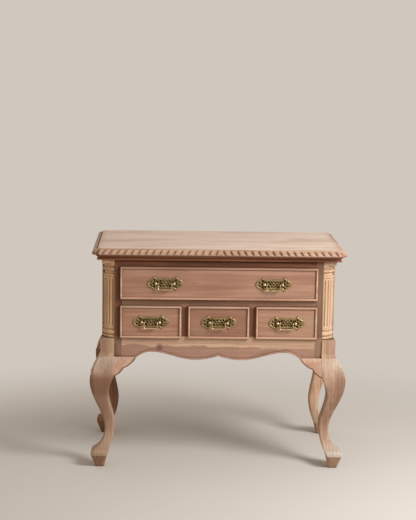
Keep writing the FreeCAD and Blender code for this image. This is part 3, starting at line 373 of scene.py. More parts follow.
def bead_along(path, radius):
    """A round bead carried along a path in the front plane: at each point a circle of the radius, spanned by the
    path's own normal in the plane and the direction to the front."""
    step = np.gradient(path, axis=0)
    step /= np.linalg.norm(step, axis=1, keepdims=True)
    across = np.stack([-step[:, 2], 0 * step[:, 0], step[:, 0]], -1)
    turn = np.linspace(0, 2 * np.pi, 9)[:, None, None]
    return path + radius * (np.cos(turn) * across + np.sin(turn) * np.array([0, -1.0, 0]))


walnut_bead = walnut("stripped walnut, red bead", "#cfa58e", "#bb8e78", "#855746", "X", corner_soil_and_shade=0.2)
past_cusp = half_x > 4
bead_x = np.r_[half_x[past_cusp][::-1], 0, -half_x[past_cusp]]
bead_z = np.r_[half_z[past_cusp][::-1], half_z[0], half_z[past_cusp]]
bead = bead_along(points(bead_x, -half_depth, bead_z + 2.1), 2.5)
# The bead's underside is darkened: painted shade under the bead.
under = 0.85 * np.maximum(0, np.cos(np.linspace(0, 2 * np.pi, 9) - 0.4))[:, None] + np.zeros(bead.shape[:2])
fit(shell("apron_bead", [bead], [bead[:-1, 0], bead[:-1, -1]], hollow=under), "carcase", "apron", walnut_bead)

# -------- Cabriole legs
# Each leg is bandsawn from a square walnut block to one S curve on two faces, then rounded with a rasp: knee, shin,
# ankle and a pad on a tapered foot. It is dowelled up into the case, and its top joint shows as a line. The wood is
# bare and grey on knee and pad, and browner along the shin, where stain is left. The rear left leg and foot, the
# front left foot and a band below the front left knee are painted shade, and the rear right leg is painted light.
knee_z, calf_z, heel_z, ankle_z, pad_top, pad_rim = 320.0, 272.0, 147.0, 132.0, 66.0, 45.0
top_out, knee_out, ankle_out, pad_out, rim_out, foot_out = 9.5, 41.0, -11.0, 28.0, 37.0, 19.0
block_in, calf_in, heel_in, rim_in, foot_in = 45.0, 25.5, 47.5, 21.5, 10.5
block_foot, instep_turn = leg_top - 65, np.radians(75)


def ease(t):
    """A smooth step from 0 to 1."""
    t = np.clip(t, 0, 1)
    return t * t * (3 - 2 * t)


def leg_reach(z):
    """How far the outer faces stand out from the case: a sine down to the knee, a smooth step in to the ankle, a
    circular instep out to the pad, and a rounded shoulder down to its rim."""
    knee = top_out + (knee_out - top_out) * np.sin(np.pi / 2 * np.clip((leg_top - z) / (leg_top - knee_z), 0, 1))
    shin = knee_out + (ankle_out - knee_out) * ease((knee_z - z) / (knee_z - ankle_z))
    turn = np.arcsin(np.clip((ankle_z - z) / (ankle_z - pad_top), 0, 1) * np.sin(instep_turn))
    instep = ankle_out + (pad_out - ankle_out) * (1 - np.cos(turn)) / (1 - np.cos(instep_turn))
    shoulder = rim_out + (pad_out - rim_out) * (1 - np.clip((pad_top - z) / (pad_top - pad_rim), 0, 1)) ** 3.6
    return np.select([z >= knee_z, z >= ankle_z, z >= pad_top], [knee, shin, instep], shoulder)


def leg_inset(z):
    """How far the inner faces lie inside the case: square at the knee, in under it, and back at the ankle."""
    swell = np.sin(np.pi / 2 * np.clip((block_foot - z) / (block_foot - calf_z), 0, 1))
    calf = block_in + (calf_in - block_in) * swell
    shin = calf_in + (heel_in - calf_in) * ease((calf_z - z) / (calf_z - heel_z))
    heel = heel_in + (rim_in - heel_in) * np.clip((heel_z - z) / (heel_z - pad_rim), 0, 1) ** 1.7
    return np.select([z >= calf_z, z >= heel_z], [calf, shin], heel)


def square_rows(z, low, high, outer, side, bow=1.0):
    """Rows of a square section from low to high on both axes, with its own round on the outer corner. Each corner
    is a quarter circle, drawn towards its chord where bow is below 1."""
    z, low, high, outer, side = (np.asarray(v, float).reshape(-1, 1) for v in (z, low, high, outer, side))
    quadrant = np.append(np.repeat(np.arange(4), 7), 0)
    run = np.append(np.tile(np.linspace(0, 1, 7), 4), 0.0)
    turn = (quadrant + run) * np.pi / 2
    start, end = quadrant * np.pi / 2, (quadrant + 1) * np.pi / 2
    arc_x = bow * np.cos(turn) + (1 - bow) * (np.cos(start) * (1 - run) + np.cos(end) * run)
    arc_y = bow * np.sin(turn) + (1 - bow) * (np.sin(start) * (1 - run) + np.sin(end) * run)
    radius = np.where(quadrant == 0, outer, side)
    x = np.where(np.isin(quadrant, (0, 3)), high - radius, low + radius) + radius * arc_x
    y = np.where(quadrant < 2, high - radius, low + radius) + radius * arc_y
    return points(half_case + x, half_depth + y, z)


bare_top, bare_pad = ("Z", 0.335, 0.385, "#cebca9", 0.85), ("Z", 0.15, 0.06, "#c6ac95", 0.75)
front_wood, right_foot = ("#c29f86", "#a6846c", "#6f4a36", "#b59c85"), ("#bf9b80", "#a78469", "#775741")
# Per leg: its corner, its three tones, its tan clouds, its patches from top to bottom, and its foot's three tones.
# Painted shade: the rear left leg and foot, the front left foot and a band below the front left knee. Painted light:
# the rear right leg's paler tones.
leg_tones_with_painted_light = {"front_left": ((-1, -1, 1), *front_wood,
                             [("Z", 0.352, 0.325, "#886149", 0.75), ("Z", 0.28, 0.25, "#ba9983", 0.75), bare_top,
                              ("Z", 0.15, 0.06, "#b39781", 0.75)], ("#a9876d", "#916f56", "#654633")),
              "front_right": ((1, -1, 1), *front_wood, [("X", 0.41, 0.45, "#815d48", 0.6), bare_top, bare_pad,
                                                        ("Z", 0.09, 0.06, "#d3c8bd", 0.85)], right_foot),
              "rear_left": ((-1, 1, 1), "#a0755a", "#885f46", "#583a25", None, [], ("#8a6a4c", "#6f5238", "#452f1e")),
              "rear_right": ((1, 1, 1), "#d6b192", "#b79476", "#7f5a40", None, [bare_pad], right_foot)}
instep_drop = np.sin(np.linspace(0, instep_turn, 15)[1:]) / np.sin(instep_turn)
leg_z = np.r_[np.linspace(leg_top, ankle_z, 60), ankle_z - (ankle_z - pad_top) * instep_drop,
              pad_rim + (pad_top - pad_rim) * np.cos(np.linspace(0, np.pi / 2, 9)[1:])]
outer_round = (1.5 + 13.5 * np.clip((leg_top - leg_z) / (leg_top - knee_z), 0, 1)
               - 6.5 * np.clip((knee_z - leg_z) / (knee_z - ankle_z), 0, 1))
side_round = 1.5 + 7 * np.clip((block_foot - leg_z) / (block_foot - calf_z), 0, 1)
leg_rows = square_rows(leg_z, -leg_inset(leg_z), leg_reach(leg_z), outer_round, side_round)
foot_z = np.array([pad_rim, pad_rim - 0.8, pad_rim - 1.6, pad_rim / 2, 1.2, 0.0])
taper = foot_z / pad_rim
groove = np.array([0.0, 0.9, 0.2, 0.0, 0.0, 1.0])
foot_round = 4.5 + 4.5 * taper
foot_rows = square_rows(foot_z, groove - foot_in - (rim_in - foot_in) * taper,
                        foot_out + (rim_out - foot_out) * taper - groove, foot_round, foot_round, bow=0.15)
for corner, (way, pale, mid, dark, tan, patches, foot) in leg_tones_with_painted_light.items():
    walnut_leg = walnut("stripped walnut, " + corner + " leg", pale, mid, dark, "Z",
                        pith=(0.45 * way[0], -0.22 * way[1], 0.3), rings=0.013, figure=0.24, streaks=1.15, skew=0.06,
                        ends=0.15, tan=tan, patches=patches)
    walnut_foot = walnut("stripped walnut, " + corner + " foot", *foot, "Z", pith=(0.4, 0.2, 0.1))
    rows, block_rows = leg_rows * way, foot_rows * way
    fit(shell("cabriole_leg_" + corner, [rows], [rows[0, :-1], rows[-1, :-1]], crisp=28), "carcase", "leg",
        walnut_leg, "leg_" + corner)
    fit(shell("tapered_foot_" + corner, [block_rows], [block_rows[0, :-1], block_rows[-1, :-1]], crisp=28),
        "carcase", "leg", walnut_foot)

# -------- Knee blocks
# Small walnut blocks glued beside each leg under the rails, of pinker wood than the legs. Each follows the knee's
# swell next to the leg, dies away towards the middle, and is bandsawn to two scallops below. The apron's round bead
# runs on along this edge in the top rail's darker wood: old stain, and painted shade under the block.


def arc_through(a, b, c, n):
    """Points on the circle through three points: from a by way of b to c, at equal angles about its centre."""
    a, b, c = (np.array(p, float) for p in (a, b, c))
    first, second = b - a, c - a
    twice = 2 * (first[0] * second[1] - first[1] * second[0])
    centre = a + (np.array([second[1], -second[0]]) * (first @ first)
                  + np.array([-first[1], first[0]]) * (second @ second)) / twice
    begin, end = (np.arctan2(*(p - centre)[::-1]) for p in (a, c))
    sweep = np.mod(np.sign(twice) * (end - begin), 2 * np.pi)
    turn = begin + np.sign(twice) * np.linspace(0, sweep, n)
    return centre + np.hypot(*(a - centre)) * np.stack([np.cos(turn), np.sin(turn)], -1)


leg_side = 370.8


def knee_block():
    """A slab whose front stands out by the leg's reach, falling to 0.3 of it along the block, and whose lower
    edge is two arcs that meet in a notch. Built beside the right front leg, then turned to the other places."""
    heel = arc_through((0, 65), (20.5, 52.7), (33.4, 37.7), 14)
    toe = arc_through((33.4, 37.7), (61.6, 21.5), (76, 4), 14)
    along, drop = np.concatenate([heel, toe[1:]]).T
    down = np.linspace(0, 1, 15)[:, None]
    z = leg_top - drop[None] * down
    share = 1 - 0.7 * along[None] / 76
    face = -half_depth - top_out - (leg_reach(z) - top_out) * share
    x = leg_side - along[None]
    return slab(points(x, face, z), points(x, rail_thick - half_depth, z))


def beside(grid, end):
    """The same block set against the leg's other face, at the front (1) or the rear (-1): its distances from the
    case's two faces change places. A rear one is shorter, so that its tip meets the end of the side's arch."""
    out = grid.copy()
    out[..., 0] = half_case - half_depth - grid[..., 1]
    out[..., 1] = half_case - half_depth - leg_side + (leg_side - grid[..., 0]) * (1.0 if end == 1 else 0.81)
    return out * [1, end, 1]


walnut_knee = walnut("stripped walnut, knee blocks", "#cda98f", "#b68f76", "#8c6450", "Z", pith=(0.3, 0.3, 0.15),
                     patches=[("Z", 0.385, 0.402, "#dec3ad", 0.5)])
block_grids = knee_block()
knee_bead = bead_along(block_grids[0][-1] + [0, 0, 1.6], 2.1)
for side, hand in ((-1, "left"), (1, "right")):
    fit(shell("front_knee_block_" + hand, [grid * [side, 1, 1] for grid in block_grids]), "carcase", "leg",
        walnut_knee, "knee_block_front_" + hand)
    pair = [beside(grid, end) * [side, 1, 1] for grid in block_grids for end in (1, -1)]
    fit(shell("side_knee_pair_" + hand, pair), "carcase", "leg", walnut_knee, "side_knee_blocks_" + hand)
    # The knee beads take the top rail's darker finish: old stain and painted shade under the blocks.
    beads = [bead * [side, 1, 1] for bead in (knee_bead, beside(knee_bead, 1), beside(knee_bead, -1))]
    fit(shell("knee_beads_" + hand, beads, [bead[:-1, end] for bead in beads for end in (0, -1)]), "carcase", "leg",
        walnut_shaded)

# -------- Inside of the case
# Oak runners, guides and kickers glued and pinned behind the rails, and a thin dust panel between the two rows of
# drawers. Only planed, never finished, and darkened by a century of dust.
oak = walnut("bare oak, linings and runners", "#b08c62", "#997650", "#6b4e33", "Y", pith=(0.2, 0.3, -0.4), rings=0.005,
             figure=0.3, rough=0.68)
dress(oak, "drawer_runners", "drawer_guides", "drawer_kickers", "dust_panel", arris=0)

# -------- Bed moulding
# Three lengths of walnut moulding, a bold bead under a cove and a fillet, mitred at the front corners and glued
# under the top. It has kept more of its old brown colour, and is painted darker as well for the top's shade on it.


def bed_path():
    """The moulding's profile as reach and height, carried along the left side, the front and the right side, with
    mitres where each point keeps its reach from both faces."""
    turn = np.linspace(-np.pi / 2, np.pi / 2, 11)
    cove = np.linspace(0, np.pi / 2, 7)
    reach = np.r_[0, 13 + 3.6 * np.cos(turn), 18 - 5 * np.cos(cove), 18.6, 19, 19, 0, 0]
    height = np.r_[754, 758 + 4 * np.sin(turn), 762 + 7 * np.sin(cove) ** 1.6, 769, 769.4, case_top, case_top, 754]
    x, y = half_case + reach, -half_depth - reach
    rear = np.full_like(reach, half_depth)
    return np.stack([points(-x, rear, height), points(-x, y, height), points(x, y, height),
                     points(x, rear, height)], 1)


walnut_bed = walnut("stripped walnut, shaded moulding", "#a86f50", "#8f583b", "#52301f", "X", figure=0.3, corner_soil_and_shade=0.6)
bed = bed_path()
fit(shell("bed_moulding_run", [bed], [bed[:-1, 0], bed[:-1, -1]]), "carcase", "moulding", walnut_bed,
    "bed_moulding")

# -------- Top board
# A walnut board with its grain along the front. An ovolo and a fillet are run round its ends and back, and its
# four corners are canted. The old varnish has been stripped, which leaves the wood bare, pale and a little pink.
top_z, top_half, top_deep, cant, mitre = 795.0, 450.0, 242.0, 26.0, np.sqrt(2) - 1


def top_profile():
    """Inset and height of the top's edge: a short upright, a quarter ellipse 15 by 13 mm, a shelf and a 4 mm step."""
    turn = np.linspace(0, np.pi / 2, 11)
    inset = np.r_[0, 0, 15 - 15 * np.cos(turn), 18.7, 19.2, 19.8]
    return inset, np.r_[case_top, case_top + 4.9, 778 + 13 * np.sin(turn), 791.0, 794.4, top_z]


def round_the_top(inset, height):
    """The path of the top's edge drawn in by an inset: from the right front cant round the right end, the back and
    the left end to the left front cant. A corner of the outline that is drawn in by d slips by d times
    (root 2 - 1) along its side."""
    slip = inset * mitre
    x = [top_half - inset, top_half - inset, top_half - cant - slip]
    y = [cant - top_deep + slip, top_deep - cant - slip, top_deep - inset]
    right = [points(a, b, height) for a, b in zip(x, y)]
    left = [points(-a, b, height) for a, b in zip(x[::-1], y[::-1])]
    return np.stack(right + left, 1)


walnut_top = walnut("stripped walnut, pale top", "#e5d6c8", "#d5bdab", "#ab8975", "X", pith=(0.1, 0.05, -0.86),
                    rings=0.011, figure=0.3, soil_and_shade_colour="#5a3828", patches=[("X", 0.408, 0.436, "#a58672", 0.5)])
edge = round_the_top(*top_profile())
strip_deep = 22.6
rebate_x = np.array([top_half - strip_deep, top_half - cant - mitre * strip_deep]) * [[1], [-1]]
rebate_y = np.array([cant - top_deep + mitre * strip_deep, strip_deep - top_deep])
rebate = points(np.append(rebate_x[0], rebate_x[1, ::-1]), np.append(rebate_y, rebate_y[::-1]),
                np.linspace(case_top, top_z, len(edge))[:, None])
# Soil and painted shade lie at the foot of the ovolo and on the shelf above it.
quirk_soil_and_shade = np.zeros(edge.shape[:2])
quirk_soil_and_shade[1:6] = np.array([[0.7], [1.0], [0.8], [0.4], [0.1]])
quirk_soil_and_shade[11:15] = np.array([[0.4], [1.0], [1.0], [0.9]])
fit(shell("top", [edge, np.stack([edge[:, 0], rebate[:, 0]], 1), np.stack([edge[:, -1], rebate[:, -1]], 1), rebate],
          [np.concatenate([edge[row], rebate[row, ::-1]]) for row in (0, -1)], hollow=quirk_soil_and_shade),
    "carcase", "top", walnut_top, "top_board")

# -------- Gadrooned strip
# A strip of walnut glued into a rebate along the front edge and its two cants. It is carved with slanting gouge
# cuts 25 mm apart, which lean outward from the middle. Soil and painted shade darken the cuts, more towards the
# right end, so the lobes between them look pale, and the strip's lower edge is painted dark for the shade under it.


def gadroon_surface():
    """A quarter ellipse 22 by 19 mm carried along the front and its cants, with mitres. At t mm from the nearest
    slanting cut it is drawn in by a round gouge 11 to 18 mm wide and 4.4 mm deep, and each lobe falls off
    towards its cuts. Returns the surface, its inner line and how much the gouging is darkened by dirt and painted
    shade, more towards the right end."""
    pitch, deep, half, far = 25.0, 4.4, top_half - cant, top_half - cant + cant * np.sqrt(2)
    along = np.r_[np.linspace(-far, -half, 38)[:-1], np.linspace(-half, half, 849), np.linspace(half, far, 38)[1:]]
    knots = [-far, -half, half, far]
    edge_x = np.interp(along, knots, [-top_half, -half, half, top_half])
    edge_y = np.interp(along, knots, [cant - top_deep, -top_deep, -top_deep, cant - top_deep])
    way_x, way_y = np.interp(along, knots, [-1, -mitre, mitre, 1]), np.interp(along, knots, [-mitre, -1, -1, -mitre])
    turn = np.linspace(0, np.pi / 2, 17)[:, None]
    lean = 11 * np.sign(along) * (0.5 - turn / (np.pi / 2))
    t = np.mod(np.abs(along - lean), pitch) - pitch / 2
    wide = np.interp(along, [-far, -60, 30, far], [8.8, 8.0, 5.6, 5.4])
    gouge = deep * np.maximum(0, 1 - (t / wide) ** 2)
    fall = 1.8 * (1 - 2 * np.abs(t) / pitch) ** 2
    ends = np.clip((far - np.abs(along)) / 4, 0, 1)
    keep = np.clip(np.minimum(turn / 0.22, (1.3 - turn) / 0.35), 0, 1) * ends
    cut = (gouge + fall) * keep
    into = strip_deep - (strip_deep - cut) * np.cos(turn)
    carved = points(edge_x - way_x * into, edge_y - way_y * into, 776 + (19 - cut) * np.sin(turn))
    inner = points(edge_x - way_x * strip_deep, edge_y - way_y * strip_deep, case_top)[None]
    soil_and_shade_share = np.interp(along, [-far, -60, 0, far], [0.34, 0.34, 0.5, 0.55])
    return carved, inner, soil_and_shade_share * gouge * keep / deep


# The patch paints the strip's lower edge dark: painted shade under the strip.
walnut_strip = walnut("stripped walnut, carved strip", "#caa98f", "#b48f77", "#7d5440", "X", soil_and_shade_colour="#3f2418",
                      figure=0.2, patches=[("Z", 0.7785, 0.7745, "#42200f", 0.9)])
carved, inner, gouge_soil_and_shade = gadroon_surface()
foot_line = carved[:1] * [1, 1, 0] + [0, 0, case_top]
round_the_strip = np.concatenate([foot_line, carved, inner, foot_line])
soil_and_shade_amount = np.pad(gouge_soil_and_shade, ((1, 2), (0, 0)))
fit(shell("gadrooned_edge", [round_the_strip], [round_the_strip[:-1, 0], round_the_strip[:-1, -1]], crisp=50,
          hollow=soil_and_shade_amount), "carcase", "moulding", walnut_strip, "gadroon_edge")

# -------- Drawers
# Each drawer is an oak box dovetailed to a walnut front. The front laps over its opening all round, and a round
# bead worked along its edge frames a flat field. The reddest boards of the piece were kept for the fronts, and
# hands have rubbed the beads pale. Soil and painted shade lie along both sides of each bead, most along its top,
# and the wide drawer's top bead is painted darker for the top's shadow.


def drawer_bead(x, half, low, high):
    """The bead's section as inset from the lip's edge and place from front to back: up the lip's side, over rounds
    of 4.25 and 2.25 mm and down to the field, carried round the four sides with mitred corners."""
    turn = np.linspace(0, np.pi / 2, 8)
    inset = np.r_[-0.25, 4 - 4.25 * np.cos(turn), 5.5 + 2.25 * np.sin(turn), 7.75, -0.25]
    out = np.r_[209.0, 216.3 + 4.25 * np.sin(turn), 218.3 + 2.25 * np.cos(turn), 214.5, 209.0]
    side_x, side_z, lap = np.array([-1, 1, 1, -1, -1]), np.array([-1, -1, 1, 1, -1]), 6.0
    wide, tall = half + lap - inset[:, None], (high - low) / 2 + lap - inset[:, None]
    return points(x + wide * side_x, -out[:, None], (low + high) / 2 + tall * side_z)


# The patch paints the wide drawer's top bead darker: painted shadow of the top.
walnut_rim = walnut("stripped walnut, rubbed drawer beads", "#e2bca2", "#cda287", "#8a5f48", "X",
                    pith=(0.1, 0.1, -0.6), figure=0.2, soil_and_shade_colour="#381f14", corner_soil_and_shade=0.85,
                    patches=[("Z", 0.714, 0.722, "#b58a72", 0.6)])
# Soil and painted shade over the bead's section: the first column for its lower corners, the second for the upper ones,
# darker for the shade the bead casts there.
bead_soil_and_shade = np.stack([np.r_[0.9, np.linspace(0.7, -0.3, 8), np.linspace(-0.3, 0.3, 8), 0.4, 0.9],
                      np.r_[1.0, np.linspace(1.0, 0.2, 8), np.linspace(0.2, 1.0, 8), 1.0, 1.0]], 1)
# Per drawer: the middle, half width, floor and head of its opening, then its two tones and the place of its pith.
drawers = {"wide": (0.0, opening_half, 618.5, 724.0)}
drawers.update({name: (x, 103.333, lower_row, 584.0)
                for name, x in (("left", -241.667), ("centre", 0.0), ("right", 241.667))})
boards = {"wide": ("#bb917c", "#a87e69", (0.15, 0.16, -0.64)), "left": ("#b98c75", "#a57862", (0.05, 0.12, -0.5)),
          "centre": ("#aa7f6a", "#966c58", (0.25, 0.08, -0.52)), "right": ("#bb917a", "#a97f68", (0.4, 0.2, -0.49))}
for drawer, size in drawers.items():
    pale, mid, pith = boards[drawer]
    walnut_drawer = walnut("stripped walnut, red " + drawer + " drawer", pale, mid, "#875d49", "X", pith=pith,
                           rings=0.012, figure=0.22, soil_and_shade_colour="#381f14", corner_soil_and_shade=0.85, tan="#ab9076")
    dress(walnut_drawer, drawer + "_drawer_front", arris=0)
    bead = drawer_bead(*size)
    fit(shell(drawer + "_drawer_bead", [bead], hollow=np.maximum(0, bead_soil_and_shade[:, [0, 0, 1, 1, 0]])),
        drawer + "_drawer", "drawer_front", walnut_rim)
for part in ("sides", "back", "bottom"):
    dress(oak, *(drawer + "_drawer_" + part for drawer in drawers), arris=0)

# -------- Pulls
# Cast brass, browned with age: a pierced plate with a raised border and bosses, two turned posts that pass through
# the drawer front to square nuts, and a bail of round bar that swings on pins in the posts' heads. Under each plate
# lies a nearly black sheet of painted shade, which shows through the piercings.


def browned_brass(name, bright, worn, patina, rough, fret=None):
    """Old brass: bright gold on rubbed heights, olive where it has toned, and nearly black in the corners, with a
    slightly uneven cast surface. Its pits are drawn about 2 mm across, coarser than real ones, to show. A fret
    about a plate's middle is a ground of dark patina and painted shade that stands for the dark piercings: the
    product of two cosines, 12.5 mm long along the band and 16.1 mm up it, is highest at the piercings, and a dark
    ring lies round each post."""
    material, tree, shader = new_finish(name)
    place = put(tree, "TexCoord").outputs["Object"]
    cast, spots = (put(tree, "TexNoise", {"Vector": place, "Scale": scale, "Detail": detail})
                   for scale, detail in ((420.0, 4.0), (60.0, 3.0)))
    corner = put(tree, "AmbientOcclusion", {"Distance": 0.005}, samples=8)
    metal = stain(tree, worn, bright, spots, 0.35, 0.65)
    metal = stain(tree, metal, patina, corner.outputs["AO"], 0.9, 0.3)
    height = cast
    if fret:
        middle = put(tree, "VectorMath", {0: place, 1: (fret[0] / 1000, 0, fret[1] / 1000)}, operation="SUBTRACT")
        apart = put(tree, "SeparateXYZ", {0: middle})
        turns = [put(tree, "Math", {0: apart.outputs[way], 1: 2 * np.pi / length}, operation="MULTIPLY")
                 for way, length in (("X", 0.01248), ("Z", 0.0161))]
        waves = [put(tree, "Math", {0: turn}, operation="COSINE") for turn in turns]
        lattice = put(tree, "Math", {0: waves[0], 1: waves[1]}, operation="MULTIPLY")
        side = put(tree, "Math", {0: apart.outputs["X"]}, operation="ABSOLUTE")
        panel = put(tree, "MapRange", {"Value": side, "From Min": 0.024, "From Max": 0.022})
        ground = put(tree, "MapRange", {"Value": lattice, "From Min": -0.25, "From Max": 0.35})
        ground = put(tree, "Math", {0: ground, 1: panel}, operation="MULTIPLY")
        from_post = put(tree, "Math", {0: side, 1: 0.032}, operation="SUBTRACT")
        from_post = put(tree, "CombineXYZ", {0: from_post, 2: apart.outputs["Z"]})
        reach = put(tree, "VectorMath", {0: from_post}, operation="LENGTH")
        ring = put(tree, "MapRange", {"Value": reach.outputs["Value"], "From Min": 0.012, "From Max": 0.009})
        ground = put(tree, "Math", {0: ground, 1: ring}, operation="MAXIMUM")
        metal = stain(tree, metal, patina, ground, 0.0, 1.0, 0.85)
        height = put(tree, "Math", {0: height, 1: ground}, operation="SUBTRACT")
    gloss = put(tree, "MapRange", {"Value": cast, "From Min": 0.3, "From Max": 0.7, "To Min": rough - 0.08,
                                   "To Max": rough + 0.12})
    bump = put(tree, "Bump", {"Height": height, "Strength": 0.3, "Distance": 0.0004})
    feed(shader, {"Base Color": metal, "Roughness": gloss, "Normal": bump, "Metallic": 1.0})
    return material


brass_relief = browned_brass("cast brass, rubbed borders", "#c6b080", "#a08a60", "#36281a", 0.4)
brass_bar = browned_brass("brass bar, rubbed bright", "#e6d4a8", "#c6ae7e", "#4a3a22", 0.28)
# A nearly black sheet of painted shade under each plate, seen through its piercings.
painted_shade_sheet = walnut("painted shade under the plates", "#33231a", "#281910", "#180e08", "X")
pulls = {}
for pull, drawer, off in (("wide_left", "wide", -192.0), ("wide_right", "wide", 192.0), ("left", "left", 0.0),
                          ("centre", "centre", 0.0), ("right", "right", 0.0)):
    x, half, low, high = drawers[drawer]
    pulls[pull] = x + off, (low + high) / 2, drawer + "_drawer"
field_y, plate_y, pivot_y, post_off = -215.3, -217.3, -227.3, 32.0


def plate_outline():
    """The plate's edge, anticlockwise from the right tip: per quarter an end arc, a hollow up to the ear and a
    hollow down to the straight band."""
    quarter = np.concatenate([arc_through((63.5, 0), (59.7, 9.1), (47, 16), 12)[:-1],
                              arc_through((47, 16), (42.5, 20.5), (38.5, 26), 8)[:-1],
                              arc_through((38.5, 26), (35, 20.7), (29, 18), 8),
                              np.linspace((29, 18), (0, 18), 8)[1:]])
    left = quarter[::-1][1:] * [-1, 1]
    upper = np.concatenate([quarter, left])
    return np.concatenate([upper, upper[::-1][1:] * [1, -1]])


def plate_border(x, z):
    """A half-round ridge 4 mm wide and 1 mm high carried round the plate's edge, 0.3 mm inside it. It narrows over
    the last 7 mm towards the point of each ear."""
    path = plate_outline()
    step = np.roll(path[:-1], -1, 0) - np.roll(path[:-1], 1, 0)
    step /= np.linalg.norm(step, axis=1, keepdims=True)
    inward = np.stack([-step[:, 1], step[:, 0]], -1)
    inward = np.concatenate([inward, inward[:1]])
    turn = np.linspace(0, np.pi, 8)
    slim = np.clip(np.hypot(np.abs(path[:, 0]) - 38.5, np.abs(path[:, 1]) - 26) / 7, 0.1, 1)
    into = 0.3 + np.append(2 - 2 * np.cos(turn), 0.0)[:, None] * slim
    height = np.append(np.sin(turn), 0.0)[:, None] * np.maximum(slim, 0.4)
    return points(x + path[:, 0] + inward[:, 0] * into, plate_y - height, z + path[:, 1] + inward[:, 1] * into)


def turned(x, z, radius, out):
    """Circles about a line square to the plate: one radius for each distance out from the plate's face."""
    turn = np.linspace(0, 2 * np.pi, 25)
    return points(x + radius[:, None] * np.cos(turn), plate_y - out[:, None], z + radius[:, None] * np.sin(turn))


def ring_on_plate(x, z, radius, width, height):
    """A half-round ring on the plate about a piercing: a circle of rows whose section is half an ellipse."""
    across = np.linspace(0, np.pi, 6)
    return turned(x, z, np.append(radius + width / 2 - width / 2 * np.cos(across), radius),
                  np.append(height * np.sin(across), 0.0))


def post_turning(x, z):
    """A post turned about the line through its hole: the collar's rounded edge, the neck and the ball, then the
    threaded end inside the drawer as a plain shank with a rounded tip."""
    ball = np.linspace(np.radians(38), np.pi, 14)
    radius = np.r_[0, 5.6, 5.6, 5.2, 4.2, 3.0, 3.0, 5 * np.sin(ball)]
    out = np.r_[0, 0, 1.0, 1.7, 2.0, 2.3, 5.5, 10 - 5 * np.cos(ball)]
    shank = turned(x, z, np.array([0, 2.4, 2.4, 1.8, 0]), -np.array([0, 0, 26.0, 26.8, 26.9]))
    return turned(x, z, radius, out), shank


def bail_bar(x, z):
    """Round bar of 4.6 mm carried down one arm, round two bends of 5 mm and up the other, thinning to a ball at
    each eye, with a pin turned outward into each post."""
    bend = np.linspace(0, np.pi / 2, 8)
    right = np.concatenate([np.stack([np.full(6, 24.0), np.linspace(0, -16, 6)], -1),
                            np.stack([19 + 5 * np.cos(bend), -16 - 5 * np.sin(bend)], -1)[1:],
                            np.stack([np.linspace(19, 0, 5)[1:], np.full(4, -21.0)], -1)])
    path = np.concatenate([right, right[::-1][1:] * [-1, 1]])
    step = np.gradient(path, axis=0)
    step /= np.linalg.norm(step, axis=1, keepdims=True)
    across = np.stack([-step[:, 1], step[:, 0]], -1)
    swell = 2.3 + 0.5 * np.exp(-(path[:, 0] / 9) ** 2) * (path[:, 1] < -19)
    turn = np.linspace(0, 2 * np.pi, 17)[:, None]
    bar = points(x + path[:, 0] + swell * np.cos(turn) * across[:, 0], pivot_y + swell * np.sin(turn),
                 z + path[:, 1] + swell * np.cos(turn) * across[:, 1])
    polar, about = np.linspace(0, np.pi, 9)[:, None], np.linspace(0, 2 * np.pi, 17)[None]
    pins = []
    for side in (-1, 1):
        eye = points(x + side * 24 + 2.6 * np.cos(polar), pivot_y + 2.6 * np.sin(polar) * np.cos(about),
                     z + 2.6 * np.sin(polar) * np.sin(about))
        run, r = np.array([24, 24, 32.4, 32.4])[:, None], np.array([0, 1.5, 1.5, 0])[:, None]
        pin = points(x + side * run, pivot_y + r * np.cos(about), z + r * np.sin(about))
        pins += [eye, pin]
    return [bar] + pins, [bar[:-1, 0], bar[:-1, -1]]


# Place and radius of each piercing about the plate's middle.
piercings = [(sx * u, sz * w, r) for u, w, r in ((6.24, 8.05, 3.2), (16.8, 8.05, 4.3), (38.5, 11.9, 4.3),
                                                 (49.53, 6.3, 3.2)) for sx in (-1, 1) for sz in (-1, 1)]
for pull, (x, z, body) in pulls.items():
    # Each plate's fret is dark patina and painted shade for its piercings.
    brass_plate = browned_brass("cast brass, browned " + pull + " plate", "#a48d5c", "#755f3a", "#1e1209", 0.45, (x, z))
    dress(brass_plate, pull + "_backplate", arris=0)
    rim = plate_outline()
    # The sheet of painted shade under this plate.
    under = points(x + 0.96 * rim[:, 0], np.array([[field_y], [field_y - 0.3]]), z + 0.96 * rim[:, 1])
    fit(shell(pull + "_painted_shade_sheet", [under], [under[0, :-1], under[1, :-1]]), body, "drawer_front", painted_shade_sheet)
    rings = [ring_on_plate(x + u, z + w, r + 0.1, 1.4, 0.6) for u, w, r in piercings + [(0, 0, 3.2)]]
    bosses = [ring_on_plate(x + u, z, 0.0, 3.0, 1.1) for u in (-56.5, 56.5)]
    fit(shell(pull + "_plate_relief", [plate_border(x, z)] + rings + bosses, crisp=60), body, "brass", brass_relief)
    bar, bar_ends = bail_bar(x, z)
    fit(shell(pull + "_bail_bar", bar, bar_ends), pull + "_bail", "brass", brass_bar, pull + "_bail")
for drawer in drawers:
    posts, nut_grids, nut_flats = [], [], []
    for pull, (x, z, body) in pulls.items():
        if body == drawer + "_drawer":
            for side in (-post_off, post_off):
                posts += post_turning(x + side, z)
                nut, ends = rounded_block((x + side - 4.5, -195.3, z - 4.5), (x + side + 4.5, -192.3, z + 4.5), 0.6)
                nut_grids.append(nut)
                nut_flats += ends
    fit(shell(drawer + "_turned_posts", posts + nut_grids, nut_flats), drawer + "_drawer", "brass", brass_bar,
        drawer + "_pull_bolts")

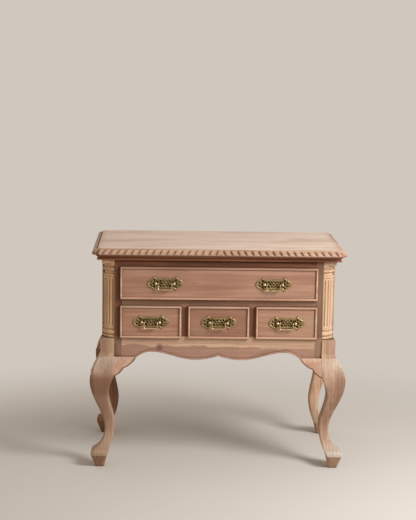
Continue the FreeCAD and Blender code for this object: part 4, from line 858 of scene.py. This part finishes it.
# -------- Studio
# A plain pale floor of matt plaster, with faint clouds and no sheen, that fades into a background of its own colour;
# one large soft lamp from the front right; and a camera at eye height five metres in front.
scene = bpy.context.scene
scene.view_settings.view_transform = "Standard"
floor_side = points(np.linspace(-60, 60, 3)[None, :], np.linspace(-60, 60, 3)[:, None], 0) * 1000
floor = shell("floor", [floor_side])
if floor.data.polygons[0].normal.z < 0:
    floor.data.flip_normals()
pale_floor, tree, matt = new_finish("matt pale plaster floor")
place = put(tree, "TexCoord").outputs["Object"]
apart = put(tree, "VectorMath", {0: place, 1: (0, -0.9, 0)}, operation="DISTANCE")
far = put(tree, "MapRange", {"Value": apart.outputs["Value"], "From Min": 1.1, "From Max": 2.4},
          interpolation_type="SMOOTHSTEP")
sweep = put(tree, "SeparateXYZ", {0: place})
# The floor is painted a little darker towards the right: painted shade that evens out the lamp's brighter light there.
across = put(tree, "MapRange", {"Value": sweep.outputs["X"], "From Min": -1.0, "From Max": 1.0},
             interpolation_type="SMOOTHSTEP")
mottle = put(tree, "TexNoise", {"Vector": place, "Scale": 2.5, "Detail": 5.0})
plaster = stain(tree, "#d2ccc5", "#cac5c0", across, 0.0, 1.0)
plaster = stain(tree, plaster, "#c0b9b1", mottle, 0.3, 0.7, 0.12)
feed(matt, {"Base Color": plaster, "Roughness": 0.95, "Specular IOR Level": 0.1})
glow = put(tree, "Emission", {"Color": linear("#d0c7be")})
seen = put(tree, "LightPath")
fade = put(tree, "Math", {0: far, 1: seen.outputs["Is Camera Ray"]}, operation="MULTIPLY")
feed(tree.nodes["Material Output"], {"Surface": put(tree, "MixShader", {0: fade, 1: matt, 2: glow})})
floor.data.materials.append(pale_floor)

world = bpy.data.worlds.new("pale studio")
scene.world = world
world.use_nodes = True
tree = world.node_tree
seen = put(tree, "LightPath")
sky = put(tree, "Background", {"Color": linear("#fff4e6"), "Strength": 0.52})
backdrop = put(tree, "Background", {"Color": linear("#d0c7be"), "Strength": 1.0})
direct = put(tree, "Math", {0: seen.outputs["Is Camera Ray"], 1: seen.outputs["Is Glossy Ray"]}, operation="MAXIMUM")
feed(tree.nodes["World Output"], {"Surface": put(tree, "MixShader", {0: direct, 1: sky, 2: backdrop})})


def stand(name, data, axes, place):
    """Stands a lamp or a camera in the scene, with its three axes and its place in metres."""
    thing = bpy.data.objects.new(name, data)
    scene.collection.objects.link(thing)
    matrix = np.eye(4)
    matrix[:3, :3], matrix[:3, 3] = np.stack(axes, 1), place
    thing.matrix_world = Matrix(matrix.tolist())
    return thing


lamp = bpy.data.lights.new("large soft lamp", "AREA")
lamp.shape, lamp.size, lamp.size_y, lamp.energy = "RECTANGLE", 0.9, 1.1, 62.0
high = np.radians(34)
toward = np.array([0.76 * np.cos(high), -0.65 * np.cos(high), np.sin(high)])
side = np.cross([0, 0, 1], toward) / np.cos(high)
stand("large_soft_lamp", lamp, [side, np.cross(toward, side), toward], np.array([0, 0, 0.4]) + 2.6 * toward)

camera = bpy.data.cameras.new("camera")
focal_pixels, picture_pixels, sensor = 1380.16, 520, 36.0
camera.lens, camera.sensor_width = focal_pixels * sensor / picture_pixels, sensor
yaw, pitch, roll = 0.0287, 0.1675, -0.0156
ahead = np.array([np.sin(yaw) * np.cos(pitch), np.cos(yaw) * np.cos(pitch), -np.sin(pitch)])
level = np.array([np.cos(yaw), -np.sin(yaw), 0])
down = np.cross(ahead, level)
scene.camera = stand("camera", camera, [np.cos(roll) * level + np.sin(roll) * down,
                                        np.sin(roll) * level - np.cos(roll) * down, -ahead],
                     (-0.1793, -5.0173, 1.5690))
